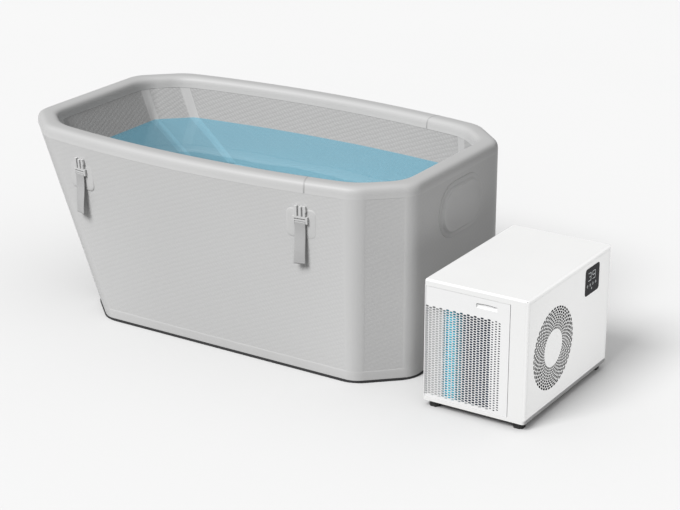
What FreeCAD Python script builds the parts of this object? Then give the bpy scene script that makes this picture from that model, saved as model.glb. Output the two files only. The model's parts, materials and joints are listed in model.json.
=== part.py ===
import FreeCAD, Part
import math
import os
import re

import Sketcher

# Cold plunge tub of bonded drop-stitch panels, with the chiller that stands at its foot end.
# X runs along the tub towards the chiller, Y across it, Z up, all in millimetres.
# The origin is on the floor under the middle of the rim.

SIZES = [
    # Tub plan and walls
    ("tub_length", 1590),
    ("tub_width", 844),
    ("side_bow", 58),
    ("corner_run", 150),
    ("corner_rise", 140),
    ("corner_flat", 50),
    ("head_lean", 253),
    ("wall_thick", 70),
    ("wall_top", 640),
    # Rim, floor and sole
    ("rim_depth", 40),
    ("rim_proud", 2),
    ("rim_round", 34),
    ("rim_inner_radius", 36),
    ("rim_seam_along", 460),
    ("floor_thick", 60),
    ("floor_clear", 0.4),
    ("sole_thick", 8),
    ("sole_proud", 3),
    # Tape over the inner corners
    ("tape_thick", 1.2),
    ("tape_half_width", 32),
    # Oval patch on the foot end
    ("patch_below_top", 115),
    ("patch_across", 12),
    ("patch_straight", 100),
    ("patch_radius", 98),
    ("patch_flange", 20),
    ("patch_base_thick", 2.5),
    ("patch_thick", 9),
    # Straps and buckles
    ("strap_from_corner", 185),
    ("strap_below_top", 100),
    ("seat_clear", 0.5),
    ("pad_width", 110),
    ("pad_height", 104),
    ("pad_thick", 1.4),
    ("pad_corner", 16),
    ("pad_drop", 6),
    ("webbing_width", 40),
    ("webbing_thick", 1.6),
    ("webbing_sewn", 46),
    ("tail_length", 140),
    ("tail_drift", 11),
    ("bar_radius", 2.5),
    ("bar_clear", 0.3),
    ("buckle_width", 54),
    ("buckle_thick", 7.6),
    ("buckle_length", 57),
    ("buckle_cheek", 6.4),
    ("buckle_heel", 2.6),
    ("buckle_slot", 5.6),
    ("buckle_bar", 5),
    ("buckle_upper_slot", 4),
    ("buckle_bridge", 6),
    ("stem_width", 9),
    ("stem_length", 54),
    ("prong_width", 8.5),
    ("prong_gap", 6.5),
    ("barb_width", 3),
    ("barb_length", 18),
    # Air valve in the head wall
    ("valve_below_top", 100),
    ("valve_flange_radius", 35),
    ("valve_flange_thick", 3),
    ("valve_barrel_radius", 25),
    ("valve_depth", 40),
    ("valve_floor", 4),
    ("valve_bore_radius", 19),
    ("valve_fit", 0.3),
    ("poppet_thick", 10),
    ("poppet_stroke", 6),
    ("cap_radius", 29),
    ("cap_thick", 7),
    ("cap_plug", 8),
    ("grip_width", 6),
    ("grip_height", 9),
    ("grip_length", 40),
    # Hose ports in the corner between the foot end and the back
    ("suction_height", 120),
    ("return_height", 230),
    ("port_flange_radius", 36),
    ("port_flange_thick", 6),
    ("port_spigot_radius", 16),
    ("port_spigot_length", 42),
    ("port_bore_radius", 12.5),
    # Chiller cabinet
    ("chiller_gap", 127),
    ("chiller_front", -446),
    ("cabinet_width", 366),
    ("cabinet_depth", 596),
    ("cabinet_top", 440),
    ("cabinet_wall", 3),
    ("cabinet_round", 10),
    ("cabinet_bevel", 5),
    ("base_bottom", 24),
    ("base_thick", 12),
    ("panel_gap", 0.5),
    ("panel_margin", 14),
    ("foot_inset", 32),
    ("foot_width", 36),
    ("foot_cut", 9),
    # Intake door
    ("door_side_band", 62),
    ("door_thick", 14),
    ("door_gap", 1.5),
    ("door_head_band", 22),
    ("door_sheet", 2.5),
    ("door_rest", 1),
    ("lip_thick", 4),
    ("hinge_pin_radius", 2.5),
    ("hinge_pin_length", 6),
    ("hinge_pin_clear", 0.3),
    ("screen_left", 14),
    ("screen_right", 30),
    ("screen_low", 10),
    ("screen_high", 64),
    ("screen_border", 5),
    ("slot_width", 22),
    ("slot_height", 15),
    ("slot_tip", 6),
    ("slot_columns", 4),
    ("slot_rows", 6),
    ("pull_edge", 44),
    ("pull_width", 74),
    ("pull_height", 14),
    ("pull_below_top", 20),
    ("pull_arch_radius", 260),
    ("pull_depth", 9),
    # Fan panel, fan and display
    ("fan_across", 188),
    ("fan_height", 219),
    ("vent_inner_radius", 68),
    ("vent_outer_radius", 134),
    ("vent_arms", 12),
    ("vent_rings", 3),
    ("shroud_radius", 138),
    ("shroud_wall", 3),
    ("shroud_length", 40),
    ("rotor_radius", 126),
    ("rotor_inset", 10),
    ("hub_radius", 44),
    ("hub_length", 24),
    ("blade_count", 5),
    ("blade_thick", 3),
    ("blade_chord", 50),
    ("blade_pitch", 24),
    ("blade_sink", 3),
    ("shaft_radius", 4),
    ("shaft_clear", 0.3),
    ("motor_radius", 38),
    ("motor_length", 46),
    ("motor_gap", 3),
    ("bracket_thick", 3),
    ("bracket_width", 40),
    ("display_below_top", 29),
    ("display_width", 104),
    ("display_height", 95),
    ("display_thick", 4),
    ("display_proud", 0.8),
    ("display_corner", 12),
    ("board_size", 84),
    ("board_gap", 5.5),
    ("board_thick", 1.6),
    ("board_standoff", 14),
    ("board_rib", 6),
    # Condenser behind the door
    ("condenser_left", 66),
    ("condenser_side_gap", 64),
    ("condenser_front", 20),
    ("condenser_depth", 26),
    ("condenser_head_gap", 71),
    ("fin_count", 12),
    ("fin_thick", 6),
    ("fin_depth", 5),
    ("end_plate_thick", 2),
    ("end_plate_lap", 5),
    ("bulkhead_across", 336),
    ("bulkhead_thick", 2),
    # Machinery behind the bulkhead
    ("machine_gap", 3.5),
    ("compressor_radius", 72),
    ("compressor_height", 210),
    ("skid_width", 150),
    ("skid_thick", 10),
    ("pump_radius", 42),
    ("pump_motor_radius", 31.5),
    ("pump_length", 78),
    ("pump_head_length", 26),
    ("pump_foot_width", 50),
    ("water_height", 112),
    ("pipe_radius", 11),
    ("pipe_clear", 0.2),
    # Rear panel fittings
    ("fitting_flange_radius", 24),
    ("fitting_flange_thick", 5),
    ("fitting_spigot_radius", 16),
    ("fitting_spigot_length", 36),
    ("fitting_bore_radius", 10),
    ("inlet_along", 92),
    ("inlet_height", 330),
    ("inlet_width", 48),
    ("inlet_rise", 28),
    ("inlet_depth", 26),
    ("inlet_lip", 3),
    ("inlet_lip_thick", 2),
    ("inlet_wall", 3),
    # Length by which a cut runs past what it cuts
    ("overrun", 20),
    # Distance within which an edge counts as level with another
    ("level_slack", 0.01),
]

DERIVED = [
    ("half_length", "tub_length / 2"),
    ("half_width", "tub_width / 2"),
    ("corner_radius", "wall_thick + 2 * rim_proud + rim_inner_radius"),
    ("corner_span", "sqrt(corner_run ^ 2 + corner_rise ^ 2)"),
    ("facing_run", "corner_rise / corner_span"),
    ("facing_rise", "corner_run / corner_span"),
    ("corner_line", "half_length - corner_run"),
    ("bow_radius", "(corner_line ^ 2 + side_bow ^ 2) / (2 * side_bow)"),
    ("bow_centre", "half_width + side_bow - bow_radius"),
    ("corner_reach", "facing_run * half_length + facing_rise * (half_width - corner_rise)"),
    ("head_angle", "atan(head_lean / (wall_top - sole_thick))"),
    ("floor_top", "sole_thick + floor_thick"),
    ("patch_height", "wall_top - patch_below_top"),
    ("strap_along", "corner_line - strap_from_corner"),
    ("strap_height", "wall_top - strap_below_top"),
    ("valve_height", "wall_top - valve_below_top"),
    ("side_zone", "half_width + side_bow + overrun"),
    ("end_zone", "half_length + overrun"),
    ("chiller_along", "half_length + chiller_gap"),
    ("base_top", "base_bottom + base_thick"),
    ("door_width", "cabinet_width - door_side_band"),
    ("door_height", "cabinet_top - door_head_band - base_top - 2 * door_gap"),
    ("screen_width", "door_width - screen_left - screen_right"),
    ("screen_height", "door_height - screen_low - screen_high"),
    ("pull_left", "door_width - pull_edge - pull_width"),
    # The display stands midway between the fan and the rear edge of the panel
    ("shroud_edge", "fan_across + shroud_radius + shroud_wall"),
    ("display_middle", "(shroud_edge + cabinet_depth - panel_margin - panel_gap) / 2"),
    ("display_left", "display_middle - display_width / 2"),
    ("display_low", "cabinet_top - display_below_top - display_height"),
    ("condenser_width", "cabinet_width - condenser_left - condenser_side_gap"),
    ("condenser_height", "cabinet_top - cabinet_wall - base_top - condenser_head_gap"),
    # Compressor, pump and heat exchanger stand side by side, midway between bulkhead and rear panel
    ("bay_front", "bulkhead_across + bulkhead_thick"),
    ("bay_middle", "(bay_front + cabinet_depth - cabinet_wall) / 2"),
    ("compressor_along", "cabinet_wall + machine_gap + skid_width / 2"),
    ("pump_along", "compressor_along + skid_width / 2 + machine_gap + pump_radius"),
    ("barrel_left", "pump_along + pump_radius + machine_gap"),
    ("barrel_radius", "(cabinet_width - cabinet_wall - machine_gap - barrel_left) / 2"),
    ("barrel_along", "barrel_left + barrel_radius"),
    ("barrel_height", "display_low + (display_height - board_size) / 2 - board_gap - base_top"),
    ("pump_front", "bay_middle - pump_length / 2"),
]

# Rings of the tub plan, each at its own inset from the outer wall face
INSETS = [
    ("outer", "0"),
    ("outer_bend", "corner_radius"),
    ("inner", "wall_thick"),
    ("tape", "wall_thick + tape_thick"),
    ("floor", "wall_thick + floor_clear"),
    ("rim_outer", "-rim_proud"),
    ("rim_inner", "wall_thick + rim_proud"),
    ("rim_bend", "corner_radius - rim_proud"),
    ("sole", "-sole_proud"),
    ("sole_bend", "corner_radius - sole_proud"),
]

doc = FreeCAD.newDocument("cold_plunge_tub")
sizes = doc.addObject("Spreadsheet::Sheet", "Sizes")
nodes = []


def note_sizes():
    """Fill the sheet: the driving sizes first, then what follows from them."""
    rows = [(name, str(number)) for name, number in SIZES]
    rows += [(name, "=" + formula) for name, formula in DERIVED]
    for ring, inset in INSETS:
        rows += [
            (ring + "_end_x", "=half_length - (%s)" % inset),
            (ring + "_reach", "=corner_reach - (%s)" % inset),
            (ring + "_end_y", "=(%s_reach - facing_run * %s_end_x) / facing_rise" % (ring, ring)),
            (ring + "_bow", "=bow_radius - (%s)" % inset),
            (ring + "_far", "=%s_reach - facing_rise * bow_centre" % ring),
            (ring + "_half_chord", "=sqrt(%s_bow ^ 2 - %s_far ^ 2)" % (ring, ring)),
            (ring + "_side_x", "=facing_run * %s_far - facing_rise * %s_half_chord" % (ring, ring)),
            (ring + "_side_y",
             "=bow_centre + facing_rise * %s_far + facing_run * %s_half_chord" % (ring, ring)),
            (ring + "_base_y", "=half_width - (%s)" % inset),
            (ring + "_base_x", "=(%s_reach - facing_rise * %s_base_y) / facing_run" % (ring, ring)),
        ]
    for number, (name, content) in enumerate(rows, start=1):
        sizes.set("A%d" % number, name)
        sizes.set("B%d" % number, content)
        sizes.setAlias("B%d" % number, name)
    doc.recompute()


note_sizes()


def value(formula):
    """Number that a formula of named sizes gives."""
    return float(sizes.evalExpression(formula))


def sized(formula):
    """The same formula with each name pointing into the sheet."""
    return re.sub(r"\b[a-z_]\w*\b(?!\s*\()", lambda found: "Sizes." + found.group(0), formula)


def bind(item, **formulas):
    """Tie properties of an object to the sheet; a double underscore stands for a dot."""
    for name, formula in formulas.items():
        item.setExpression(name.replace("__", "."), sized(formula))


def place(item, x="0", y="0", z="0", turn=None):
    """Put an object at a point given by formulas, turned about an axis first."""
    if turn:
        item.Placement = FreeCAD.Placement(FreeCAD.Vector(), FreeCAD.Rotation(*turn))
    bind(item, Placement__Base__x=x, Placement__Base__y=y, Placement__Base__z=z)
    return item


def node(item, label):
    """Name an object as one piece of the assembly."""
    item.Label = label
    nodes.append(item)
    return item


# Turns that point a piece's own Z axis along another axis
TO_RIGHT = (FreeCAD.Vector(0, 1, 0), 90)
TO_BACK = (FreeCAD.Vector(1, 0, 0), -90)


# Sketches

def pin(sketch, curve, point, axis, formula):
    """Hold one end of a curve at a distance from the sketch origin."""
    limit = Sketcher.Constraint("Distance" + axis, -1, 1, curve, point, value(formula))
    number = sketch.addConstraint(limit)
    sketch.setExpression("Constraints[%d]" % number, sized(formula))


def arc_between(start, end, radius, swell):
    """Arc from start to end, bulging to the right of the way for swell 1, to the left for -1."""
    chord = end - start
    left = FreeCAD.Vector(-chord.y, chord.x, 0).normalize()
    rise = math.sqrt(max(radius ** 2 - (chord.Length / 2) ** 2, 0))
    centre = (start + end) * 0.5 + left * rise * swell
    circle = Part.Circle(centre, FreeCAD.Vector(0, 0, 1), radius)
    first, last = (start, end) if swell > 0 else (end, start)
    angles = [math.atan2(spot.y - centre.y, spot.x - centre.x) for spot in (first, last)]
    return Part.ArcOfCircle(circle, angles[0], angles[1])


def outline(sketch, corners, arcs=None):
    """Closed outline through corners; arcs maps an edge number to a radius and a swell."""
    arcs = arcs or {}
    spots = [FreeCAD.Vector(value(across), value(up), 0) for across, up in corners]
    first = sketch.GeometryCount
    count = len(spots)
    ends = []
    for number in range(count):
        start, end = spots[number], spots[(number + 1) % count]
        if number in arcs:
            radius, swell = arcs[number]
            sketch.addGeometry(arc_between(start, end, value(radius), swell))
            ends.append((1, 2) if swell > 0 else (2, 1))
        else:
            sketch.addGeometry(Part.LineSegment(start, end))
            ends.append((1, 2))
    for number in range(count):
        after = (number + 1) % count
        meeting = (first + number, ends[number][1], first + after, ends[after][0])
        sketch.addConstraint(Sketcher.Constraint("Coincident", *meeting))
        pin(sketch, first + number, ends[number][0], "X", corners[number][0])
        pin(sketch, first + number, ends[number][0], "Y", corners[number][1])
    for number, (radius, swell) in arcs.items():
        limit = sketch.addConstraint(Sketcher.Constraint("Radius", first + number, value(radius)))
        sketch.setExpression("Constraints[%d]" % limit, sized(radius))


def ring(sketch, across, up, radius):
    """Circle with its centre and radius tied to the sheet."""
    centre = FreeCAD.Vector(value(across), value(up), 0)
    curve = sketch.addGeometry(Part.Circle(centre, FreeCAD.Vector(0, 0, 1), value(radius)))
    pin(sketch, curve, 3, "X", across)
    pin(sketch, curve, 3, "Y", up)
    limit = sketch.addConstraint(Sketcher.Constraint("Radius", curve, value(radius)))
    sketch.setExpression("Constraints[%d]" % limit, sized(radius))


def block(left, low, right, high):
    """Corners of an upright rectangle, in order."""
    return [(left, low), (right, low), (right, high), (left, high)]


def begin(name):
    return doc.addObject("PartDesign::Body", name)


def sketch_on(body, role, level, shapes):
    """Sketch on one of a body's own planes, lifted to a level; shapes are outlines or rings."""
    sketch = body.newObject("Sketcher::SketchObject", body.Name + "_sketch")
    plane = [feature for feature in body.Origin.OriginFeatures if feature.Role == role][0]
    sketch.AttachmentSupport = [(plane, "")]
    sketch.MapMode = "FlatFace"
    bind(sketch, AttachmentOffset__Base__z=level)
    for shape in shapes:
        if isinstance(shape, dict):
            outline(sketch, shape["corners"], shape["arcs"])
        elif len(shape) == 3 and isinstance(shape[0], str):
            ring(sketch, *shape)
        else:
            outline(sketch, shape)
    return sketch


def extrude(body, role, level, depth, shapes, cut=False, reverse=False):
    """Pad or pocket a sketch."""
    sketch = sketch_on(body, role, level, shapes)
    feature = body.newObject("PartDesign::Pocket" if cut else "PartDesign::Pad", body.Name + "_step")
    feature.Profile = sketch
    feature.Reversed = reverse
    bind(feature, Length=depth)
    body.Tip = feature
    doc.recompute()
    return feature


def turned(name, corners):
    """Body turned about its Z axis from a half profile of radius and height."""
    body = begin(name)
    sketch = sketch_on(body, "XZ_Plane", "0", [corners])
    feature = body.newObject("PartDesign::Revolution", name + "_turn")
    feature.Profile = sketch
    feature.ReferenceAxis = (sketch, ["V_Axis"])
    body.Tip = feature
    doc.recompute()
    return body


def dress_edges(body, kind, size, wanted):
    """Fillet or chamfer the edges of a body's latest shape that pass a test."""
    base = body.Tip
    names = ["Edge%d" % number for number, edge in enumerate(base.Shape.Edges, start=1) if wanted(edge)]
    feature = body.newObject("PartDesign::" + kind, body.Name + "_edges")
    feature.Base = (base, names)
    bind(feature, **{"Radius" if kind == "Fillet" else "Size": size})
    body.Tip = feature
    doc.recompute()
    return feature


def round_edges(body, radius, wanted):
    return dress_edges(body, "Fillet", radius, wanted)


def bevel_edges(body, width, wanted):
    return dress_edges(body, "Chamfer", width, wanted)


def runs_along(axis):
    """Test for straight edges along one axis."""
    def wanted(edge):
        box, slack = edge.BoundBox, value("level_slack")
        lengths = {"X": box.XLength, "Y": box.YLength, "Z": box.ZLength}
        return all((length > slack) == (name == axis) for name, length in lengths.items())
    return wanted


def at_level(height):
    """Test for edges that lie flat at a height."""
    level, slack = value(height), value("level_slack")
    return lambda edge: max(abs(edge.BoundBox.ZMin - level), abs(edge.BoundBox.ZMax - level)) < slack


# Solids

def box(name, width, depth, height, x="0", y="0", z="0"):
    item = doc.addObject("Part::Box", name)
    bind(item, Length=width, Width=depth, Height=height)
    return place(item, x, y, z)


def cylinder(name, radius, height, x="0", y="0", z="0", turn=None):
    item = doc.addObject("Part::Cylinder", name)
    bind(item, Radius=radius, Height=height)
    return place(item, x, y, z, turn)


def join(name, items):
    item = doc.addObject("Part::MultiFuse", name)
    item.Shapes = items
    return item


def cut(name, base, tools):
    item = doc.addObject("Part::Cut", name)
    item.Base = base
    item.Tool = tools[0] if len(tools) == 1 else join(name + "_tools", tools)
    return item


def overlap(name, base, tool):
    item = doc.addObject("Part::Common", name)
    item.Base = base
    item.Tool = tool
    return item


def group(name, items):
    item = doc.addObject("Part::Compound", name)
    item.Links = items
    return item


# Tub plan: a rectangle with bowed long sides and cut corners

def sharp_plan(name, bowed):
    """Eight corners of a ring of the plan; at the base the head end stands in by its lean."""
    end_x, end_y = name + "_end_x", name + "_end_y"
    side_x = name + ("_side_x" if bowed else "_base_x")
    side_y = name + ("_side_y" if bowed else "_base_y")
    shift = "" if bowed else " + head_lean"
    corners = [(end_x, "-" + end_y), (end_x, end_y), (side_x, side_y), ("-" + side_x + shift, side_y),
               ("-" + end_x + shift, end_y), ("-" + end_x + shift, "-" + end_y),
               ("-" + side_x + shift, "-" + side_y), (side_x, "-" + side_y)]
    bows = {2: (name + "_bow", 1), 6: (name + "_bow", 1)} if bowed else {}
    return {"corners": corners, "arcs": bows}


def bend_end(bend, spot, radius):
    """Point where an arc about a corner of the bend ring runs into the cut corner."""
    return ("%s_%s_x + %s * facing_run" % (bend, spot, radius),
            "%s_%s_y + %s * facing_rise" % (bend, spot, radius))


def rounded_plan(name, bend, radius, bowed):
    """The same ring with an arc at each corner, centred on the corners of the bend ring inside it."""
    foot = [(name + "_end_x", bend + "_end_y"), bend_end(bend, "end", radius)]
    if bowed:
        grow = "%s_bow / %s_bow" % (name, bend)
        on_bow = ("%s_side_x * %s" % (bend, grow), "bow_centre + (%s_side_y - bow_centre) * %s" % (bend, grow))
        side = [bend_end(bend, "side", radius), on_bow]
    else:
        side = [bend_end(bend, "base", radius), (bend + "_base_x", name + "_base_y")]
    quarter = foot + side
    shift = "" if bowed else " + head_lean"
    head = [("-(%s)%s" % (x, shift), y) for x, y in reversed(quarter)]
    half = quarter + head
    corners = half + [(x, "-(%s)" % y) for x, y in reversed(half)]
    arcs = {number: (radius, 1) for number in (0, 2, 4, 6, 8, 10, 12, 14)}
    if bowed:
        arcs.update({3: (name + "_bow", 1), 11: (name + "_bow", 1)})
    return {"corners": corners, "arcs": arcs}


def plan_loft(name, low_plan, high_plan):
    """Solid between a plan at the sole and a plan at the top of the walls."""
    sections = []
    for level, plan in (("sole_thick", low_plan), ("wall_top", high_plan)):
        sketch = doc.addObject("Sketcher::SketchObject", name + "_section")
        outline(sketch, plan["corners"], plan["arcs"])
        place(sketch, z=level)
        sections.append(sketch)
    loft = doc.addObject("Part::Loft", name)
    loft.Sections = sections
    loft.Solid = True
    loft.Ruled = True
    return loft


def foot_zone(name, left, right, front, back, low="sole_thick"):
    """Upright box over part of the plan, up to the top of the walls."""
    return box(name, "(%s) - (%s)" % (right, left), "(%s) - (%s)" % (back, front),
               "wall_top - (%s)" % low, left, front, low)


def head_zone(name, left, right, front, back, lean_right="head_lean"):
    """Box over part of the plan whose base stands in with the leaning head end."""
    item = doc.addObject("Part::Wedge", name)
    bind(item, Xmin="(%s) + head_lean" % left, Xmax="(%s) + %s" % (right, lean_right),
         X2min=left, X2max=right, Ymin="0", Ymax="wall_top - sole_thick",
         Zmin="-(%s)" % back, Zmax="-(%s)" % front, Z2min="-(%s)" % back, Z2max="-(%s)" % front)
    return place(item, z="sole_thick", turn=(FreeCAD.Vector(1, 0, 0), 90))


def tub_walls():
    """Eight wall panels cut from one lofted shell, so that their bends and edges meet."""
    shell = cut("wall_shell",
                plan_loft("outer_form", rounded_plan("outer", "outer_bend", "corner_radius", False),
                          rounded_plan("outer", "outer_bend", "corner_radius", True)),
                [plan_loft("inner_form", sharp_plan("inner", False), sharp_plan("inner", True))])
    side_edge = "(corner_line - corner_flat)"
    end_edge = "(half_width - corner_rise - corner_flat)"
    panels = {
        "wall_foot": foot_zone("zone", "corner_line", "end_zone", "-" + end_edge, end_edge),
        "wall_head": head_zone("zone", "-end_zone", "-corner_line", "-" + end_edge, end_edge),
        "corner_foot_front": foot_zone("zone", side_edge, "end_zone", "-side_zone", "-" + end_edge),
        "corner_foot_back": foot_zone("zone", side_edge, "end_zone", end_edge, "side_zone"),
        "corner_head_front": head_zone("zone", "-end_zone", "-" + side_edge, "-side_zone", "-" + end_edge),
        "corner_head_back": head_zone("zone", "-end_zone", "-" + side_edge, end_edge, "side_zone"),
        "wall_front": head_zone("zone", "-" + side_edge, side_edge, "-side_zone", "0", "0"),
        "wall_back": head_zone("zone", "-" + side_edge, side_edge, "0", "side_zone", "0"),
    }
    walls = {label: overlap(label + "_panel", shell, zone) for label, zone in panels.items()}
    doc.recompute()
    return walls


def tub_floor():
    """Floor panel inside the walls and the dark sole sheet under everything."""
    floor = begin("floor_panel")
    extrude(floor, "XY_Plane", "sole_thick", "floor_thick", [sharp_plan("floor", False)])
    node(floor, "floor_panel")
    sole = begin("sole")
    extrude(sole, "XY_Plane", "0", "sole_thick", [rounded_plan("sole", "sole_bend", "corner_radius", False)])
    node(sole, "sole")


def tub_rim():
    """Rounded rim bolster, cut into two spans that meet at the cross seams."""
    rim = begin("rim")
    extrude(rim, "XY_Plane", "wall_top", "rim_depth",
            [rounded_plan("rim_outer", "rim_bend", "corner_radius", True),
             rounded_plan("rim_inner", "rim_bend", "rim_inner_radius", True)])
    round_edges(rim, "rim_round", at_level("wall_top + rim_depth"))
    spans = [("rim_foot", "rim_seam_along", "end_zone"), ("rim_head", "-end_zone", "rim_seam_along")]
    for label, left, right in spans:
        zone = box("rim_zone", "(%s) - (%s)" % (right, left), "2 * side_zone", "rim_depth + 2 * overrun",
                   left, "-side_zone", "wall_top - overrun")
        node(overlap(label + "_span", rim, zone), label)


def corner_tapes():
    """Tapes over the eight inner corners, cut from one thin lining."""
    lining = cut("lining", plan_loft("lining_outer", sharp_plan("inner", False), sharp_plan("inner", True)),
                 [plan_loft("lining_inner", sharp_plan("tape", False), sharp_plan("tape", True))])
    above = box("above_floor", "2 * end_zone", "2 * side_zone", "wall_top - floor_top",
                "-end_zone", "-side_zone", "floor_top")
    strips = []
    for side in ("", "-"):
        for spot in ("end", "base"):
            x, y = "inner_%s_x" % spot, "inner_%s_y" % spot
            left, right = x + " - tape_half_width", x + " + tape_half_width"
            if side:
                front, back = "-%s - tape_half_width" % y, "-%s + tape_half_width" % y
            else:
                front, back = "%s - tape_half_width" % y, "%s + tape_half_width" % y
            zones = [foot_zone("tape_zone", left, right, front, back),
                     head_zone("tape_zone", "-(%s)" % right, "-(%s)" % left, front, back)]
            strips += [overlap("tape_strip", lining, zone) for zone in zones]
    strips = [overlap("tape", strip, above) for strip in strips]
    doc.recompute()
    node(group("corner_tape_set", strips), "corner_tapes")


def stadium(across, up, straight, radius):
    """Outline with two straight edges joined by half rounds, drawn as quarter arcs."""
    left, right = "%s - %s / 2" % (across, straight), "%s + %s / 2" % (across, straight)
    low, high = "%s - %s" % (up, radius), "%s + %s" % (up, radius)
    corners = [(left, low), (right, low), ("%s + %s" % (right, radius), up), (right, high), (left, high),
               ("%s - %s" % (left, radius), up)]
    return {"corners": corners, "arcs": {number: (radius, 1) for number in (1, 2, 4, 5)}}


def end_patch():
    """Raised oval patch on the foot end: a welded flange and a thicker, rounded middle."""
    body = begin("end_patch")
    extrude(body, "YZ_Plane", "half_length", "patch_base_thick",
            [stadium("patch_across", "patch_height", "patch_straight", "patch_radius")])
    extrude(body, "YZ_Plane", "half_length", "patch_thick",
            [stadium("patch_across", "patch_height", "patch_straight", "(patch_radius - patch_flange)")])
    node(body, "end_patch")


# Straps on the long sides

def wall_spot(share, rise, side):
    """Point of a long wall's outer face, by share of its run and share of its height."""
    bend_x = value("outer_bend_side_x * outer_bow / outer_bend_bow")
    radius, centre = value("outer_bow"), value("bow_centre")
    swing = math.asin(bend_x / radius) * (2 * share - 1)
    bowed_y = (centre + radius * math.cos(swing)) * side
    high = FreeCAD.Vector(radius * math.sin(swing), bowed_y, value("wall_top"))
    start, end = value("head_lean - outer_bend_base_x"), value("outer_bend_base_x")
    low = FreeCAD.Vector(start + (end - start) * share, value("half_width") * side, value("sole_thick"))
    return low + (high - low) * rise


def wall_seat(along, height, side):
    """Placement on a long wall with local Z up the wall and local Y into it."""
    rise = (height - value("sole_thick")) / value("wall_top - sole_thick")
    low, high = 0.0, 1.0
    halvings = 40
    for halving in range(halvings):
        share = (low + high) / 2
        if wall_spot(share, rise, side).x < along:
            low = share
        else:
            high = share
    spot = wall_spot(share, rise, side)
    small_share = 0.001
    run = wall_spot(share + small_share, rise, side) - wall_spot(share - small_share, rise, side)
    climb = wall_spot(share, rise + small_share, side) - wall_spot(share, rise - small_share, side)
    run = (run * -side).normalize()
    inward = climb.cross(run).normalize()
    return FreeCAD.Placement(spot, FreeCAD.Rotation(run, inward, run.cross(inward), "XYZ"))


def strap_pad(name):
    """Sewn pad under a buckle, with its corners cut."""
    body = begin(name)
    high = "pad_height / 2 - pad_drop"
    low = "-pad_height / 2 - pad_drop"
    extrude(body, "XZ_Plane", "seat_clear", "pad_thick",
            [block("-pad_width / 2", low, "pad_width / 2", high)])
    bevel_edges(body, "pad_corner", lambda edge: edge.BoundBox.YLength > value("pad_thick") / 2)
    return body


def strap(name):
    """Webbing sewn to its pad, looped over the buckle's bar, with the tail hanging free in front."""
    body = begin(name)
    inside = "(bar_radius + bar_clear)"
    outside = "(bar_radius + bar_clear + webbing_thick)"
    bar = "-(2 * seat_clear + pad_thick + bar_radius + bar_clear + webbing_thick)"
    corners = [
        (bar + " - " + outside, "0"),
        (bar + " - " + outside + " - tail_drift", "-tail_length"),
        (bar + " - " + inside + " - tail_drift", "-tail_length"),
        (bar + " - " + inside, "0"),
        (bar, inside),
        (bar + " + " + inside, "0"),
        (bar + " + " + inside, "-webbing_sewn"),
        (bar + " + " + outside, "-webbing_sewn"),
        (bar + " + " + outside, "0"),
        (bar, outside),
    ]
    arcs = {3: (inside, -1), 4: (inside, -1), 8: (outside, 1), 9: (outside, 1)}
    extrude(body, "YZ_Plane", "-webbing_width / 2", "webbing_width", [{"corners": corners, "arcs": arcs}])
    return body


def buckle(name):
    """Male buckle half: a bar for the webbing, a bridge, a guide stem and two barbed prongs."""
    body = begin(name)
    back = "(seat_clear * 2 + pad_thick + bar_radius + bar_clear + webbing_thick - buckle_thick / 2)"
    half = "buckle_width / 2"
    foot = "(buckle_slot + buckle_bar + buckle_upper_slot + buckle_bridge)"
    near = "(stem_width / 2 + prong_gap)"
    far = "(stem_width / 2 + prong_gap + prong_width)"
    right = [
        (half + " - buckle_cheek", "-buckle_heel"),
        (half, "-buckle_heel"),
        (half, foot),
        (far, foot),
        (far, "buckle_length - barb_length"),
        (far + " + barb_width", "buckle_length - barb_length"),
        (far, "buckle_length"),
        (near, "buckle_length"),
        (near, foot),
        ("stem_width / 2", foot),
        ("stem_width / 2", "stem_length"),
    ]
    left = [("-(%s)" % x, z) for x, z in reversed(right)]
    inner = [("-(%s - buckle_cheek)" % half, "buckle_slot"), (half + " - buckle_cheek", "buckle_slot")]
    extrude(body, "XZ_Plane", back, "buckle_thick", [right + left + inner])
    upper = "(buckle_slot + buckle_bar)"
    inside = "(%s - buckle_cheek)" % half
    extrude(body, "XZ_Plane", back, "buckle_thick",
            [block("-" + inside, upper, inside, upper + " + buckle_upper_slot")], cut=True, reverse=True)
    depth = "-(%s + buckle_thick / 2)" % back
    extrude(body, "YZ_Plane", "-(%s - buckle_cheek / 2)" % half, "buckle_width - buckle_cheek",
            [(depth, "0", "bar_radius")])
    return body


def strap_sets():
    """Pad, strap and buckle at two places on each long side."""
    pads, straps = [], []
    spots = [("front_head", -1, -1), ("front_foot", 1, -1), ("back_head", -1, 1), ("back_foot", 1, 1)]
    for label, end, side in spots:
        seat = wall_seat(value("strap_along") * end, value("strap_height"), side)
        pieces = [strap_pad("pad_" + label), strap("strap_" + label), buckle("buckle_form_" + label)]
        for piece in pieces:
            piece.Placement = seat
        pads.append(pieces[0])
        straps.append(pieces[1])
        node(pieces[2], "buckle_" + label)
        bar = seat.multVec(FreeCAD.Vector(0, -value("2 * seat_clear + pad_thick + bar_radius + bar_clear"
                                                    " + webbing_thick"), 0))
        print("buckle", label, "bar at", bar, "axis", seat.Rotation.multVec(FreeCAD.Vector(1, 0, 0)))
    node(group("strap_pad_set", pads), "strap_pads")
    node(group("strap_set", straps), "straps")


# Air valve

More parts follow.
